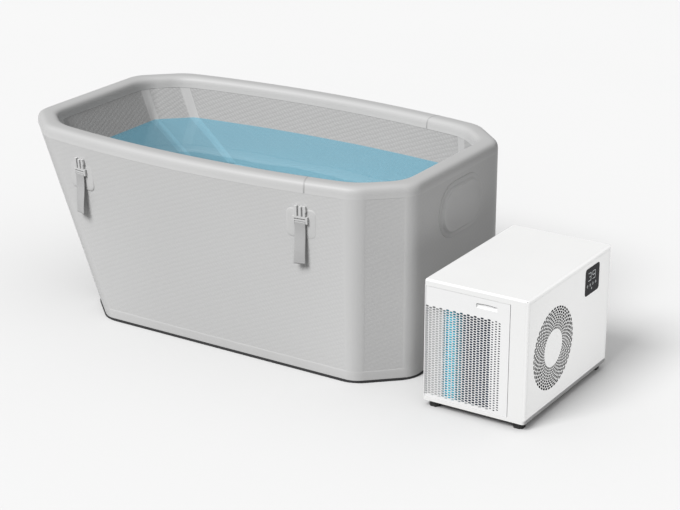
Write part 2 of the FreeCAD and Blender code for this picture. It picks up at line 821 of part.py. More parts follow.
def air_valve(walls):
    """Valve set into the leaning head wall: a bored body, a sprung poppet and a plug cap."""
    inset = "head_lean * (wall_top - valve_height) / (wall_top - sole_thick)"
    spot = ("-half_length + " + inset, "0", "valve_height")
    turn = (FreeCAD.Vector(0, 1, 0), -90 - value("head_angle"))
    body = turned("valve_body", [
        ("0", "-valve_depth"), ("valve_barrel_radius", "-valve_depth"), ("valve_barrel_radius", "0"),
        ("valve_flange_radius", "0"), ("valve_flange_radius", "valve_flange_thick"),
        ("valve_bore_radius", "valve_flange_thick"), ("valve_bore_radius", "-valve_depth + valve_floor"),
        ("0", "-valve_depth + valve_floor")])
    seat = "(-valve_depth + valve_floor + poppet_stroke + valve_fit)"
    poppet = turned("valve_poppet", [
        ("0", seat), ("valve_bore_radius - valve_fit", seat),
        ("valve_bore_radius - valve_fit", seat + " + poppet_thick"), ("0", seat + " + poppet_thick")])
    rim = "valve_flange_thick"
    cap = turned("valve_cap", [
        ("0", rim + " - cap_plug"), ("valve_bore_radius - valve_fit", rim + " - cap_plug"),
        ("valve_bore_radius - valve_fit", rim), ("cap_radius", rim), ("cap_radius", rim + " + cap_thick"),
        ("0", rim + " + cap_thick")])
    extrude(cap, "XY_Plane", rim + " + cap_thick", "grip_height",
            [block("-grip_length / 2", "-grip_width / 2", "grip_length / 2", "grip_width / 2")])
    hole = turned("valve_hole", [
        ("0", "-valve_depth - valve_fit"), ("valve_barrel_radius + valve_fit", "-valve_depth - valve_fit"),
        ("valve_barrel_radius + valve_fit", "overrun"), ("0", "overrun")])
    for piece in (body, poppet, cap, hole):
        place(piece, *spot, turn)
    walls["wall_head"] = cut("wall_head_bored", walls["wall_head"], [hole])
    node(body, "valve_body")
    node(poppet, "valve_poppet")
    node(cap, "valve_cap")
    print("valve at", [value(part) for part in spot], "tilted by", value("head_angle"))


# Hose ports

def hose_fitting(name, part):
    """Six-sided flange with a bored hose spigot."""
    flange, thick = part + "_flange_radius", part + "_flange_thick"
    flat = "%s * sqrt(3) / 2" % flange
    corners = [(flange, "0"), (flange + " / 2", flat), ("-%s / 2" % flange, flat), ("-" + flange, "0"),
               ("-%s / 2" % flange, "-" + flat), (flange + " / 2", "-" + flat)]
    body = begin(name)
    extrude(body, "XY_Plane", "0", thick, [corners])
    extrude(body, "XY_Plane", thick, part + "_spigot_length", [("0", "0", part + "_spigot_radius")])
    whole = "%s + %s_spigot_length" % (thick, part)
    extrude(body, "XY_Plane", whole, whole, [("0", "0", part + "_bore_radius")], cut=True)
    return body


def wall_fittings(walls):
    """Suction and return ports one above the other on the foot end's back corner, each over a bore."""
    middle_x, middle_y = "half_length - corner_run / 2", "half_width - corner_rise / 2"
    turn = (value("acos(facing_run)"), 90, 0)
    start = "(wall_thick + overrun)"
    holes = []
    for label, height in (("port_suction", "suction_height"), ("port_return", "return_height")):
        node(place(hose_fitting(label, "port"), middle_x, middle_y, height, turn), label)
        hole = cylinder("port_hole", "port_bore_radius", "wall_thick + 2 * overrun")
        place(hole, "%s - %s * facing_run" % (middle_x, start), "%s - %s * facing_rise" % (middle_y, start),
              height, turn)
        holes.append(hole)
    walls["corner_foot_back"] = cut("corner_bored", walls["corner_foot_back"], holes)


# Chiller cabinet, in its own frame: X across the front, Y towards the back

def in_chiller(piece, x="0", y="0", z="0", turn=None):
    """Place a piece by its distances from the cabinet's front left edge."""
    return place(piece, "chiller_along + (%s)" % x, "chiller_front + (%s)" % y, z, turn)


def hinge_socket():
    """Ring in which a hinge pin of the door turns."""
    return ("door_thick / 2", "door_thick / 2 + door_rest", "hinge_pin_radius + hinge_pin_clear")


def chiller_base():
    """Base tray on four rubber feet."""
    tray = begin("chiller_base")
    extrude(tray, "XY_Plane", "base_bottom", "base_thick",
            [block("0", "0", "cabinet_width", "cabinet_depth")])
    round_edges(tray, "cabinet_round", runs_along("Z"))
    extrude(tray, "XY_Plane", "base_top", "hinge_pin_length + hinge_pin_clear",
            [hinge_socket()], cut=True)
    node(in_chiller(tray), "chiller_base")
    feet = []
    for x in ("foot_inset", "cabinet_width - foot_inset"):
        for y in ("foot_inset", "cabinet_depth - foot_inset"):
            foot = begin("chiller_foot")
            half = "foot_width / 2"
            extrude(foot, "XY_Plane", "0", "base_bottom", [block("-" + half, "-" + half, half, half)])
            bevel_edges(foot, "foot_cut", runs_along("Z"))
            feet.append(in_chiller(foot, x, y))
    node(group("chiller_foot_set", feet), "chiller_feet")


def cabinet():
    """Folded cabinet with rounded edges, open below and behind the door, fan panel and rear panel."""
    body = begin("cabinet")
    extrude(body, "XY_Plane", "base_top", "cabinet_top - base_top",
            [block("0", "0", "cabinet_width", "cabinet_depth")])
    round_edges(body, "cabinet_round", runs_along("Z"))
    bevel_edges(body, "cabinet_bevel", at_level("cabinet_top"))
    far_side, far_end = "cabinet_width - cabinet_wall", "cabinet_depth - cabinet_wall"
    extrude(body, "XY_Plane", "base_top", "cabinet_top - base_top - cabinet_wall",
            [block("cabinet_wall", "cabinet_wall", far_side, far_end)], cut=True, reverse=True)
    lip = "(base_top + door_height + 2 * door_gap)"
    extrude(body, "XZ_Plane", "0", "door_thick + door_rest + door_gap",
            [block("-overrun", "base_top - overrun", "door_width + 2 * door_gap", lip)], cut=True)
    inside = "cabinet_wall / 2"
    extrude(body, "XY_Plane", lip, "lip_thick",
            [[("cabinet_round", inside), ("door_width", inside),
              ("door_width", "door_thick + cabinet_round"),
              (inside, "door_thick + cabinet_round"), (inside, "cabinet_round")]])
    extrude(body, "XY_Plane", lip, "hinge_pin_length + hinge_pin_clear",
            [hinge_socket()], cut=True, reverse=True)
    low, high = "base_top - overrun", "cabinet_top - panel_margin"
    extrude(body, "YZ_Plane", "cabinet_width", "cabinet_round",
            [block("panel_margin", low, "cabinet_depth - panel_margin", high)], cut=True)
    extrude(body, "XZ_Plane", "-cabinet_depth", "cabinet_round",
            [block("panel_margin", low, "cabinet_width - panel_margin", high)], cut=True, reverse=True)
    node(in_chiller(body), "cabinet")


def intake_door():
    """Perforated door that swings on two pins at its rounded left edge."""
    body = begin("intake_door")
    round_end = {"corners": [("door_thick / 2", "0"), ("door_width", "0"), ("door_width", "door_thick"),
                             ("door_thick / 2", "door_thick"), ("0", "door_thick / 2")],
                 "arcs": {3: ("door_thick / 2", 1), 4: ("door_thick / 2", 1)}}
    extrude(body, "XY_Plane", "0", "door_height", [round_end])
    right = "screen_left + screen_width"
    high = "screen_low + screen_height"
    extrude(body, "XZ_Plane", "-door_sheet", "door_thick",
            [block("screen_left", "screen_low", right, high)], cut=True)
    pull_low = "door_height - pull_below_top - pull_height"
    pull_high = "door_height - pull_below_top"
    pull = {"corners": block("pull_left", pull_low, "pull_left + pull_width", pull_high),
            "arcs": {2: ("pull_arch_radius", 1)}}
    extrude(body, "XZ_Plane", "0", "pull_depth", [pull], cut=True)
    middle = ("door_thick / 2", "door_thick / 2", "hinge_pin_radius")
    extrude(body, "XY_Plane", "door_height", "hinge_pin_length", [middle])
    extrude(body, "XY_Plane", "-hinge_pin_length", "hinge_pin_length", [middle])
    perforate_door(body)
    node(in_chiller(body, y="door_rest", z="base_top + door_gap"), "intake_door")


def perforate_door(body):
    """Two interleaved grids of long six-sided holes."""
    step_x = "((screen_width - 2 * screen_border - slot_width) / (slot_columns - 1 / 2))"
    step_z = "((screen_height - 2 * screen_border - slot_height) / (slot_rows - 1 / 2))"
    for shift in ("0", "1 / 2"):
        x = "screen_left + screen_border + slot_width / 2 + %s * %s" % (step_x, shift)
        z = "screen_low + screen_border + slot_height / 2 + %s * %s" % (step_z, shift)
        wide, tall = "slot_width / 2", "slot_height / 2"
        corners = [("%s + %s" % (x, wide), z), ("%s + %s - slot_tip" % (x, wide), "%s + %s" % (z, tall)),
                   ("%s - %s + slot_tip" % (x, wide), "%s + %s" % (z, tall)), ("%s - %s" % (x, wide), z),
                   ("%s - %s + slot_tip" % (x, wide), "%s - %s" % (z, tall)),
                   ("%s + %s - slot_tip" % (x, wide), "%s - %s" % (z, tall))]
        hole = extrude(body, "XZ_Plane", "0", "door_sheet", [corners], cut=True)
        pattern = body.newObject("PartDesign::LinearPattern", "slots")
        pattern.Originals = [hole]
        pattern.Direction = (hole.Profile[0], ["H_Axis"])
        pattern.Direction2 = (hole.Profile[0], ["V_Axis"])
        pattern.Mode = "Spacing"
        pattern.Mode2 = "Spacing"
        bind(pattern, Offset=step_x, Offset2=step_z, Occurrences="slot_columns", Occurrences2="slot_rows")
        body.Tip = pattern
        doc.recompute()


def fan_panel():
    """Right-hand panel with the vent's curved arms of holes and the display's window."""
    body = begin("fan_panel")
    low, high = "base_top + panel_gap", "cabinet_top - panel_margin - panel_gap"
    extrude(body, "YZ_Plane", "cabinet_width - cabinet_wall", "cabinet_wall",
            [block("panel_margin + panel_gap", low, "cabinet_depth - panel_margin - panel_gap", high)])
    window = block("display_left", "display_low", "display_left + display_width",
                   "display_low + display_height")
    extrude(body, "YZ_Plane", "cabinet_width", "cabinet_wall", [window], cut=True)
    round_edges(body, "display_corner", display_corner_edge)
    holes = extrude(body, "YZ_Plane", "cabinet_width", "cabinet_wall", vent_arm(), cut=True)
    hub = sketch_on(body, "YZ_Plane", "cabinet_width", [])
    centre = FreeCAD.Vector(value("fan_across"), value("fan_height"), 0)
    axis = hub.addGeometry(Part.Point(centre), True)
    pin(hub, axis, 1, "X", "fan_across")
    pin(hub, axis, 1, "Y", "fan_height")
    bind(hub, AttachmentOffset__Base__x="fan_across", AttachmentOffset__Base__y="fan_height")
    pattern = body.newObject("PartDesign::PolarPattern", "vent_arms")
    pattern.Originals = [holes]
    pattern.Axis = (hub, ["N_Axis"])
    bind(pattern, Occurrences="vent_arms")
    body.Tip = pattern
    doc.recompute()
    node(in_chiller(body), "fan_panel")


def vent_arm():
    """Four-sided holes at growing radius, every second one half a step round."""
    rings = int(value("vent_rings"))
    depth = "((vent_outer_radius - vent_inner_radius) / vent_rings)"
    step = "(360 / vent_arms)"
    radius_share, width_share = 0.38, 0.34
    holes = []
    for number in range(rings):
        middle = "(vent_inner_radius + %s * (%d + 1 / 2))" % (depth, number)
        turn = "(%s * %d / 2)" % (step, number % 2)
        spots = [("%s + %s * %g" % (middle, depth, radius_share), turn),
                 (middle, "(%s + %s * %g)" % (turn, step, width_share)),
                 ("%s - %s * %g" % (middle, depth, radius_share), turn),
                 (middle, "(%s - %s * %g)" % (turn, step, width_share))]
        across = ["fan_across + (%s) * cos(%s)" % spot for spot in spots]
        up = ["fan_height + (%s) * sin(%s)" % spot for spot in spots]
        holes.append(list(zip(across, up)))
    return holes


def display_corner_edge(edge):
    """True for the four edges through the panel at the display window's corners."""
    box, slack = edge.BoundBox, value("level_slack")
    sides = [value("display_left"), value("display_left + display_width")]
    ends = [value("display_low"), value("display_low + display_height")]
    at_side = any(abs(box.YMin - side) < slack for side in sides)
    at_end = any(abs(box.ZMin - end) < slack for end in ends)
    return runs_along("X")(edge) and at_side and at_end


def display():
    """Dark display glass in its window, and the board that drives it behind the panel."""
    glass = begin("display")
    gap = "panel_gap"
    extrude(glass, "YZ_Plane", "cabinet_width + display_proud - display_thick", "display_thick",
            [block("display_left + " + gap, "display_low + " + gap, "display_left + display_width - " + gap,
                   "display_low + display_height - " + gap)])
    round_edges(glass, "display_corner - panel_gap",
                runs_along("X"))
    node(in_chiller(glass), "display")
    rear = "cabinet_width + display_proud - display_thick"
    middle_y = "(display_left + display_width / 2)"
    middle_z = "(display_low + display_height / 2)"
    board = box("board_plate", "board_thick", "board_size", "board_size")
    in_chiller(board, rear + " - board_standoff - board_thick", middle_y + " - board_size / 2",
               middle_z + " - board_size / 2")
    ribs = []
    for side in ("- board_size / 2", "+ board_size / 2 - board_rib"):
        rib = box("board_rib", "board_standoff", "board_rib", "board_size")
        in_chiller(rib, rear + " - board_standoff", middle_y + side, middle_z + " - board_size / 2")
        ribs.append(rib)
    node(join("control_board_part", [board] + ribs), "control_board")


def fan():
    """Square shroud, motor on its bent bracket, and the rotor with its slanted blades."""
    face = "cabinet_width - cabinet_wall"
    shroud = begin("fan_shroud")
    edge = "(shroud_radius + shroud_wall)"
    extrude(shroud, "XY_Plane", "0", "shroud_length",
            [block("-" + edge, "-" + edge, edge, edge), ("0", "0", "shroud_radius")])
    rear = face + " - shroud_length"
    node(in_chiller(shroud, rear, "fan_across", "fan_height", TO_RIGHT), "fan_shroud")
    hub_start = "(shroud_length - rotor_inset - hub_length)"
    motor_face = "(%s - motor_gap)" % hub_start
    bracket = fan_bracket("(motor_length - %s)" % motor_face)
    node(in_chiller(bracket, rear, "fan_across", "fan_height"), "fan_bracket")
    motor = turned("fan_motor", [
        ("0", motor_face + " - motor_length"), ("motor_radius", motor_face + " - motor_length"),
        ("motor_radius", motor_face), ("shaft_radius", motor_face),
        ("shaft_radius", hub_start + " + hub_length"), ("0", hub_start + " + hub_length")])
    node(in_chiller(motor, rear, "fan_across", "fan_height", TO_RIGHT), "fan_motor")
    rotor = fan_rotor()
    node(in_chiller(rotor, rear + " + " + hub_start, "fan_across", "fan_height", TO_RIGHT), "fan_rotor")


def fan_bracket(drop):
    """Bent strap from the shroud's rear edge round behind the motor."""
    body = begin("fan_bracket")
    reach = "(shroud_radius + shroud_wall)"
    inner = "(%s - bracket_thick)" % reach
    back = "-%s - bracket_thick" % drop
    around = [("0", reach), (back, reach), (back, "-" + reach), ("0", "-" + reach)]
    within = [("0", "-" + inner), ("-" + drop, "-" + inner), ("-" + drop, inner), ("0", inner)]
    extrude(body, "XZ_Plane", "-bracket_width / 2", "bracket_width", [around + within])
    return body


def blade_section(chord, pitch):
    """Slanted thin section of a blade, wider along the way that it turns."""
    along_y, along_z = "%s / 2 * cos(%s)" % (chord, pitch), "%s / 2 * sin(%s)" % (chord, pitch)
    thick_y, thick_z = "blade_thick / 2 * sin(%s)" % pitch, "blade_thick / 2 * cos(%s)" % pitch
    middle = "hub_length / 2"
    return [("-(%s) + %s" % (along_y, thick_y), "%s - %s - %s" % (middle, along_z, thick_z)),
            ("%s + %s" % (along_y, thick_y), "%s + %s - %s" % (middle, along_z, thick_z)),
            ("%s - %s" % (along_y, thick_y), "%s + %s + %s" % (middle, along_z, thick_z)),
            ("-(%s) - %s" % (along_y, thick_y), "%s - %s + %s" % (middle, along_z, thick_z))]


def fan_rotor():
    """Hub on the motor's shaft with a ring of slanted blades."""
    bore = "shaft_radius + shaft_clear"
    body = turned("fan_rotor", [
        (bore, "0"), ("hub_radius", "0"), ("hub_radius", "hub_length"), (bore, "hub_length")])
    blade = extrude(body, "YZ_Plane", "hub_radius - blade_sink", "rotor_radius - hub_radius + blade_sink",
                    [blade_section("blade_chord", "blade_pitch")])
    pattern = body.newObject("PartDesign::PolarPattern", "blades")
    pattern.Originals = [blade]
    axis = [feature for feature in body.Origin.OriginFeatures if feature.Role == "Z_Axis"][0]
    pattern.Axis = (axis, [""])
    bind(pattern, Occurrences="blade_count")
    body.Tip = pattern
    doc.recompute()
    return body


def condenser():
    """Finned condenser behind the door, its end plates, and the bulkhead behind the fan."""
    body = begin("condenser_core")
    right = "condenser_left + condenser_width"
    back = "condenser_front + condenser_depth"
    extrude(body, "XY_Plane", "base_top", "condenser_height",
            [block("condenser_left", "condenser_front", right, back)])
    pitch = "(condenser_width / fin_count)"
    gap = extrude(body, "XY_Plane", "base_top + condenser_height", "condenser_height",
                  [block("condenser_left + fin_thick", "condenser_front - overrun",
                         "condenser_left + " + pitch, "condenser_front + fin_depth")], cut=True)
    pattern = body.newObject("PartDesign::LinearPattern", "fins")
    pattern.Originals = [gap]
    pattern.Direction = (gap.Profile[0], ["H_Axis"])
    pattern.Mode = "Spacing"
    bind(pattern, Offset=pitch, Occurrences="fin_count - 1")
    body.Tip = pattern
    doc.recompute()
    node(in_chiller(body), "condenser_core")
    plates = []
    for x in ("condenser_left - end_plate_thick", right):
        plate = box("end_plate", "end_plate_thick", "condenser_depth + 2 * end_plate_lap",
                    "condenser_height + end_plate_lap")
        plates.append(in_chiller(plate, x, "condenser_front - end_plate_lap", "base_top"))
    node(group("end_plate_set", plates), "condenser_plates")
    plate = box("bulkhead", "cabinet_width - 2 * cabinet_wall - 2 * panel_gap", "bulkhead_thick",
                "cabinet_top - cabinet_wall - base_top - panel_gap")
    node(in_chiller(plate, "cabinet_wall + panel_gap", "bulkhead_across", "base_top"), "bulkhead")


def machinery():
    """Compressor on its skid, heat exchanger, pump and its straight water pipes."""
    can = cylinder("compressor_can", "compressor_radius", "compressor_height")
    in_chiller(can, "compressor_along", "bay_middle", "base_top + skid_thick")
    skid = box("compressor_skid", "skid_width", "skid_width", "skid_thick")
    in_chiller(skid, "compressor_along - skid_width / 2", "bay_middle - skid_width / 2", "base_top")
    node(join("compressor_part", [can, skid]), "compressor")
    barrel = cylinder("heat_exchanger", "barrel_radius", "barrel_height")
    node(in_chiller(barrel, "barrel_along", "bay_middle", "base_top"), "heat_exchanger")
    pump()
    water_lines()


def pump():
    """Pump lying along Y: a motor, a wider head towards the rear panel and a saddle on the base."""
    head = "pump_length - pump_head_length"
    body = turned("pump_form", [
        ("0", "0"), ("pump_motor_radius", "0"), ("pump_motor_radius", head), ("pump_radius", head),
        ("pump_radius", "pump_length"), ("0", "pump_length")])
    in_chiller(body, "pump_along", "pump_front", "water_height", TO_BACK)
    saddle = box("pump_saddle", "pump_foot_width", "pump_length", "water_height - base_top - pipe_radius")
    in_chiller(saddle, "pump_along - pump_foot_width / 2", "pump_front", "base_top")
    node(join("pump_part", [body, saddle]), "pump")


def water_lines():
    """Pipes from the two rear fittings straight to the pump and to the heat exchanger."""
    rear = "(cabinet_depth - cabinet_wall)"
    starts = [("pump_along", "(pump_front + pump_length)"),
              ("barrel_along", "(bay_middle + barrel_radius)")]
    pipes = []
    for x, start in starts:
        pipe = cylinder("pipe", "pipe_radius", "%s - %s" % (rear, start))
        pipes.append(in_chiller(pipe, x, start, "water_height", TO_BACK))
    node(group("pipe_set", pipes), "water_pipes")


def rear_panel():
    """Rear panel with the two hose fittings and the power inlet."""
    body = begin("rear_panel")
    low, high = "base_top + panel_gap", "cabinet_top - panel_margin - panel_gap"
    extrude(body, "XZ_Plane", "-cabinet_depth", "cabinet_wall",
            [block("panel_margin + panel_gap", low, "cabinet_width - panel_margin - panel_gap", high)])
    wide, tall = "inlet_width / 2 + pipe_clear", "inlet_rise / 2 + pipe_clear"
    window = block("inlet_along - (%s)" % wide, "inlet_height - (%s)" % tall, "inlet_along + %s" % wide,
                   "inlet_height + %s" % tall)
    extrude(body, "XZ_Plane", "-cabinet_depth", "cabinet_wall",
            [("pump_along", "water_height", "fitting_bore_radius"),
             ("barrel_along", "water_height", "fitting_bore_radius"), window],
            cut=True, reverse=True)
    node(in_chiller(body), "rear_panel")
    for label, x in (("fitting_in", "pump_along"), ("fitting_out", "barrel_along")):
        piece = hose_fitting(label, "fitting")
        node(in_chiller(piece, x, "cabinet_depth", "water_height", TO_BACK), label)
    power_inlet()


def power_inlet():
    """Cupped power inlet with a lip that lies on the rear panel."""
    body = begin("power_inlet")
    wide, tall = "inlet_width / 2", "inlet_rise / 2"
    shell = block("-" + wide, "-" + tall, wide, tall)
    lip_wide, lip_tall = "(%s + inlet_lip)" % wide, "(%s + inlet_lip)" % tall
    lip = block("-" + lip_wide, "-" + lip_tall, lip_wide, lip_tall)
    cup_wide, cup_tall = "(%s - inlet_wall)" % wide, "(%s - inlet_wall)" % tall
    cup = block("-" + cup_wide, "-" + cup_tall, cup_wide, cup_tall)
    extrude(body, "XZ_Plane", "0", "inlet_depth", [shell])
    extrude(body, "XZ_Plane", "0", "inlet_lip_thick", [lip], reverse=True)
    extrude(body, "XZ_Plane", "-inlet_lip_thick", "inlet_depth", [cup], cut=True, reverse=True)
    node(in_chiller(body, "inlet_along", "cabinet_depth", "inlet_height"), "power_inlet")


def write_parts():
    """Check each object and write each piece to its own file."""
    doc.recompute()
    for item in doc.Objects:
        if "Invalid" in item.State or "Error" in item.State:
            raise RuntimeError("%s did not build" % item.Label)
    os.makedirs("parts", exist_ok=True)
    for item in nodes:
        shape = item.Shape
        if shape.isNull() or not shape.isValid() or not shape.Solids:
            raise RuntimeError("%s has no valid solid" % item.Label)
        shape.exportStep(os.path.join("parts", item.Label + ".step"))
        print("%-22s %2d solids %12.1f mm3" % (item.Label, len(shape.Solids), shape.Volume))


walls = tub_walls()
tub_floor()
tub_rim()
corner_tapes()
end_patch()
strap_sets()
air_valve(walls)
wall_fittings(walls)
for wall_label, wall in walls.items():
    node(wall, wall_label)
chiller_base()
cabinet()
intake_door()
fan_panel()
display()
fan()
condenser()
machinery()
rear_panel()
write_parts()
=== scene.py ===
import json
import math

import bpy
import numpy as np
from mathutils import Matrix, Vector


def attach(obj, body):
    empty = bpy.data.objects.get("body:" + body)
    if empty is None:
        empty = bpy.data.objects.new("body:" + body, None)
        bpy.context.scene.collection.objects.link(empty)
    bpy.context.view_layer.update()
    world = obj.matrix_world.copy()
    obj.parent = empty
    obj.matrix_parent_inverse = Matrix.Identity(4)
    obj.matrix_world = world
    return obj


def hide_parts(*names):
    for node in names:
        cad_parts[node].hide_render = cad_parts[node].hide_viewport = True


# Cold plunge tub and its chiller, in metres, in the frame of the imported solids.
# X runs along the tub towards the chiller, Y across it, Z up.

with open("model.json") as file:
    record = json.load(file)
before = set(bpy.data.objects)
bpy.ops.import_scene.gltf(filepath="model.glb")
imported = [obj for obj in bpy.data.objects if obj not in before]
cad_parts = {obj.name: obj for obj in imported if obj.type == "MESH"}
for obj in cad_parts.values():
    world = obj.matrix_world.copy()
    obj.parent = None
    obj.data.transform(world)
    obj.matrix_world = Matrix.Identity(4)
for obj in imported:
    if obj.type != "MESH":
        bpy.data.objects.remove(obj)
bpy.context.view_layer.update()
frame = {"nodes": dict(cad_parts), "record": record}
nodes = frame["nodes"]
mounts = frame["record"]["mounts"]
joints = frame["record"]["behaviour"]["joints"]
MM = 0.001
BODY = "tub"
X, Y, Z = (1, 0, 0), (0, 1, 0), (0, 0, 1)


# Surfaces worked out as whole arrays

def compass(turn):
    """Unit vectors of a plane at angles."""
    return np.stack([np.cos(turn), np.sin(turn)], axis=-1)


def full_turn(count):
    """Evenly spaced angles once round."""
    return np.linspace(0, 2 * math.pi, count, endpoint=False)


def raised(points, level):
    """Plan points lifted to a level, or each to its own."""
    return np.concatenate([points, np.broadcast_to(level, points.shape[:-1])[..., None]], axis=-1)


def grid_faces(rows, columns, wrap_rows=False, wrap_columns=False):
    """Quads of a grid of points, row by row, closed round where asked."""
    row = np.arange(rows if wrap_rows else rows - 1)
    column = np.arange(columns if wrap_columns else columns - 1)
    row, column = np.meshgrid(row, column, indexing="ij")
    here, below = row * columns, (row + 1) % rows * columns
    beside = (column + 1) % columns
    corners = [here + column, below + column, below + beside, here + beside]
    return np.stack(corners, axis=-1).reshape(-1, 4)


def closing_fan(ring, centre):
    """Faces that close a ring of points, given by number, over one centre point."""
    first, second, third = ring[0::2], ring[1::2], np.roll(ring, -2)[0::2]
    return np.stack([first, second, third, np.full(len(first), centre)], axis=1)


def end_cap(count):
    """Quads that close an outline of so many points, laid across from one half to the other."""
    near = np.arange(count // 2 - 1)
    far = count - 1 - near
    return np.stack([near, near + 1, far - 1, far], axis=1)


def merged(parts):
    """Several pairs of points and faces as one pair."""
    points, faces, start = [], [], 0
    for some_points, some_faces in parts:
        points.append(some_points)
        faces.append(some_faces + start)
        start += len(some_points)
    return np.concatenate(points), np.concatenate(faces)


def joined(parts):
    """Several sets of points, faces and each face's way out as one set."""
    points, faces = merged([part[:2] for part in parts])
    return points, faces, np.concatenate([part[2] for part in parts])


def facing(points, faces, toward):
    """The same faces, each turned so that its normal goes along its own vector of toward."""
    corner = points[faces]
    normal = np.cross(corner[:, 2] - corner[:, 0], corner[:, 3] - corner[:, 1])
    wrong = np.einsum("ij,ij->i", normal, np.broadcast_to(toward, normal.shape)) < 0
    turned = faces.copy()
    turned[wrong] = faces[wrong][:, ::-1]
    return turned


def placed(part, order, offset):
    """Points and faces of a set whose coordinates are put in another order and moved."""
    points = part[0][:, order] + offset
    return points, facing(points, part[1], part[2][:, order])


def away_from(points, faces, middle):
    """Faces turned to point away from a point, or from one point for each face."""
    return facing(points, faces, points[faces].mean(axis=1) - middle)


def add_object(name, data):
    item = bpy.data.objects.new(name, data)
    bpy.context.scene.collection.objects.link(item)
    return item


def make_piece(name, parts, finish, body=BODY, smooth=True, uv=None, around=0.0):
    """Mesh object from pairs of points and faces, at the origin, riding on a body.

    A map that runs once round closes after the length around.
    """
    points, faces = merged(parts)
    mesh = bpy.data.meshes.new(name)
    mesh.from_pydata(points.tolist(), [], faces.tolist())
    mesh.polygons.foreach_set("use_smooth", np.full(len(mesh.polygons), smooth))
    if uv is not None:
        corners = uv[faces]
        before = corners[..., 0].max(axis=1, keepdims=True) - corners[..., 0] > around / 2
        corners[..., 0] += around * before
        mesh.uv_layers.new(name="surface").data.foreach_set("uv", corners.ravel())
    mesh.materials.append(FINISHES[finish])
    mesh.update()
    piece = add_object(name, mesh)
    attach(piece, body)
    return piece


# Shader node helpers

def put(tree, socket, content):
    """Link a socket, or set its value where the content is a plain number or colour."""
    if isinstance(content, bpy.types.NodeSocket):
        tree.links.new(content, socket)
    else:
        socket.default_value = content


def fill(tree, node, **values):
    """Link or set a node's inputs by name, with _ for a space, and return its outputs."""
    for name, content in values.items():
        put(tree, node.inputs[name.replace("_", " ")], content)
    return node.outputs


def calc(tree, operation, first, second=0.0, third=0.0):
    node = tree.nodes.new("ShaderNodeMath")
    node.operation = operation
    for socket, content in zip(node.inputs, (first, second, third)):
        put(tree, socket, content)
    return node.outputs[0]


def ribs(tree, run, turn):
    """Even ribs along a run: a sine without its sign."""
    return calc(tree, "ABSOLUTE", calc(tree, "SINE", calc(tree, "MULTIPLY", run, turn)))


def dot(tree, vector, direction):
    node = tree.nodes.new("ShaderNodeVectorMath")
    node.operation = "DOT_PRODUCT"
    put(tree, node.inputs[0], vector)
    put(tree, node.inputs[1], direction)
    return node.outputs["Value"]


def noise(tree, vector, scale, detail=2.0):
    node = tree.nodes.new("ShaderNodeTexNoise")
    return fill(tree, node, Vector=vector, Scale=scale, Detail=detail)["Fac"]


def blend_colour(tree, share, first, second):
    node = tree.nodes.new("ShaderNodeMix")
    node.data_type = "RGBA"
    for number, content in ((0, share), (6, first), (7, second)):
        put(tree, node.inputs[number], content)
    return node.outputs[2]


def spread(tree, share, low, high, start=0.0, end=1.0, ease="LINEAR"):
    """Map a share between start and end onto low to high."""
    node = tree.nodes.new("ShaderNodeMapRange")
    node.interpolation_type = ease
    fill(tree, node, Value=share, From_Min=start, From_Max=end, To_Min=low, To_Max=high)
    return node.outputs["Result"]


def bump(tree, height, strength, distance):
    node = tree.nodes.new("ShaderNodeBump")
    return fill(tree, node, Strength=strength, Distance=distance, Height=height)["Normal"]


def object_place(tree):
    return tree.nodes.new("ShaderNodeTexCoord").outputs["Object"]


def surface_place(tree):
    node = tree.nodes.new("ShaderNodeUVMap")
    node.uv_map = "surface"
    return node.outputs["UV"]


def new_group(name, outputs, **inputs):
    """Empty shader node group; an input that starts with three numbers is a vector."""
    group = bpy.data.node_groups.new(name, "ShaderNodeTree")
    for label, start in inputs.items():
        kind = "NodeSocketVector" if isinstance(start, tuple) else "NodeSocketFloat"
        socket = group.interface.new_socket(label.replace("_", " "), in_out="INPUT", socket_type=kind)
        socket.default_value = start
    for label in outputs:
        group.interface.new_socket(label, in_out="OUTPUT", socket_type="NodeSocketFloat")
    entry = group.nodes.new("NodeGroupInput")
    leave = group.nodes.new("NodeGroupOutput")
    return group, entry.outputs, leave.inputs


def use_group(tree, group, **values):
    node = tree.nodes.new("ShaderNodeGroup")
    node.node_tree = group
    return fill(tree, node, **values)


# Effects that several finishes share

STITCH_SWAY, STITCH_RISE, STITCH_FALL = 0.007, 0.7, 0.35


def stitch_group():
    """Drop-stitch emboss: two diagonal sets of ribs, multiplied into small slanted diamonds; the second
    output marks the grooves for painted shade.
    """
    group, entry, leave = new_group(
        "drop_stitch", ["Height", "Line"], Place=(0, 0, 0), Along=X, Up=Z, Pitch=0.016)
    along = dot(group, entry["Place"], entry["Along"])
    up = dot(group, entry["Place"], entry["Up"])
    turn = calc(group, "DIVIDE", math.pi, entry["Pitch"])
    sway = calc(group, "MULTIPLY", noise(group, entry["Place"], 30.0), STITCH_SWAY)
    rising = calc(group, "MULTIPLY_ADD", up, STITCH_RISE, calc(group, "ADD", along, sway))
    falling = calc(group, "MULTIPLY_ADD", along, STITCH_FALL, calc(group, "SUBTRACT", sway, up))
    height = calc(group, "MULTIPLY", ribs(group, rising, turn), ribs(group, falling, turn))
    put(group, leave["Height"], height)
    # Second output: painted shade in the emboss grooves, strongest where the height is low
    put(group, leave["Line"], calc(group, "SUBTRACT", 1.0, calc(group, "POWER", height, 0.4)))
    return group


def grain_group():
    """Fine grain and a broad cloudy tone, both from noise on the object's own place."""
    group, entry, leave = new_group("grain_and_tone", ["Grain", "Tone"], Grain_Scale=900.0, Tone_Scale=3.0)
    place = object_place(group)
    put(group, leave["Grain"], noise(group, place, entry["Grain Scale"], 3.0))
    put(group, leave["Tone"], noise(group, place, entry["Tone Scale"], 4.0))
    return group


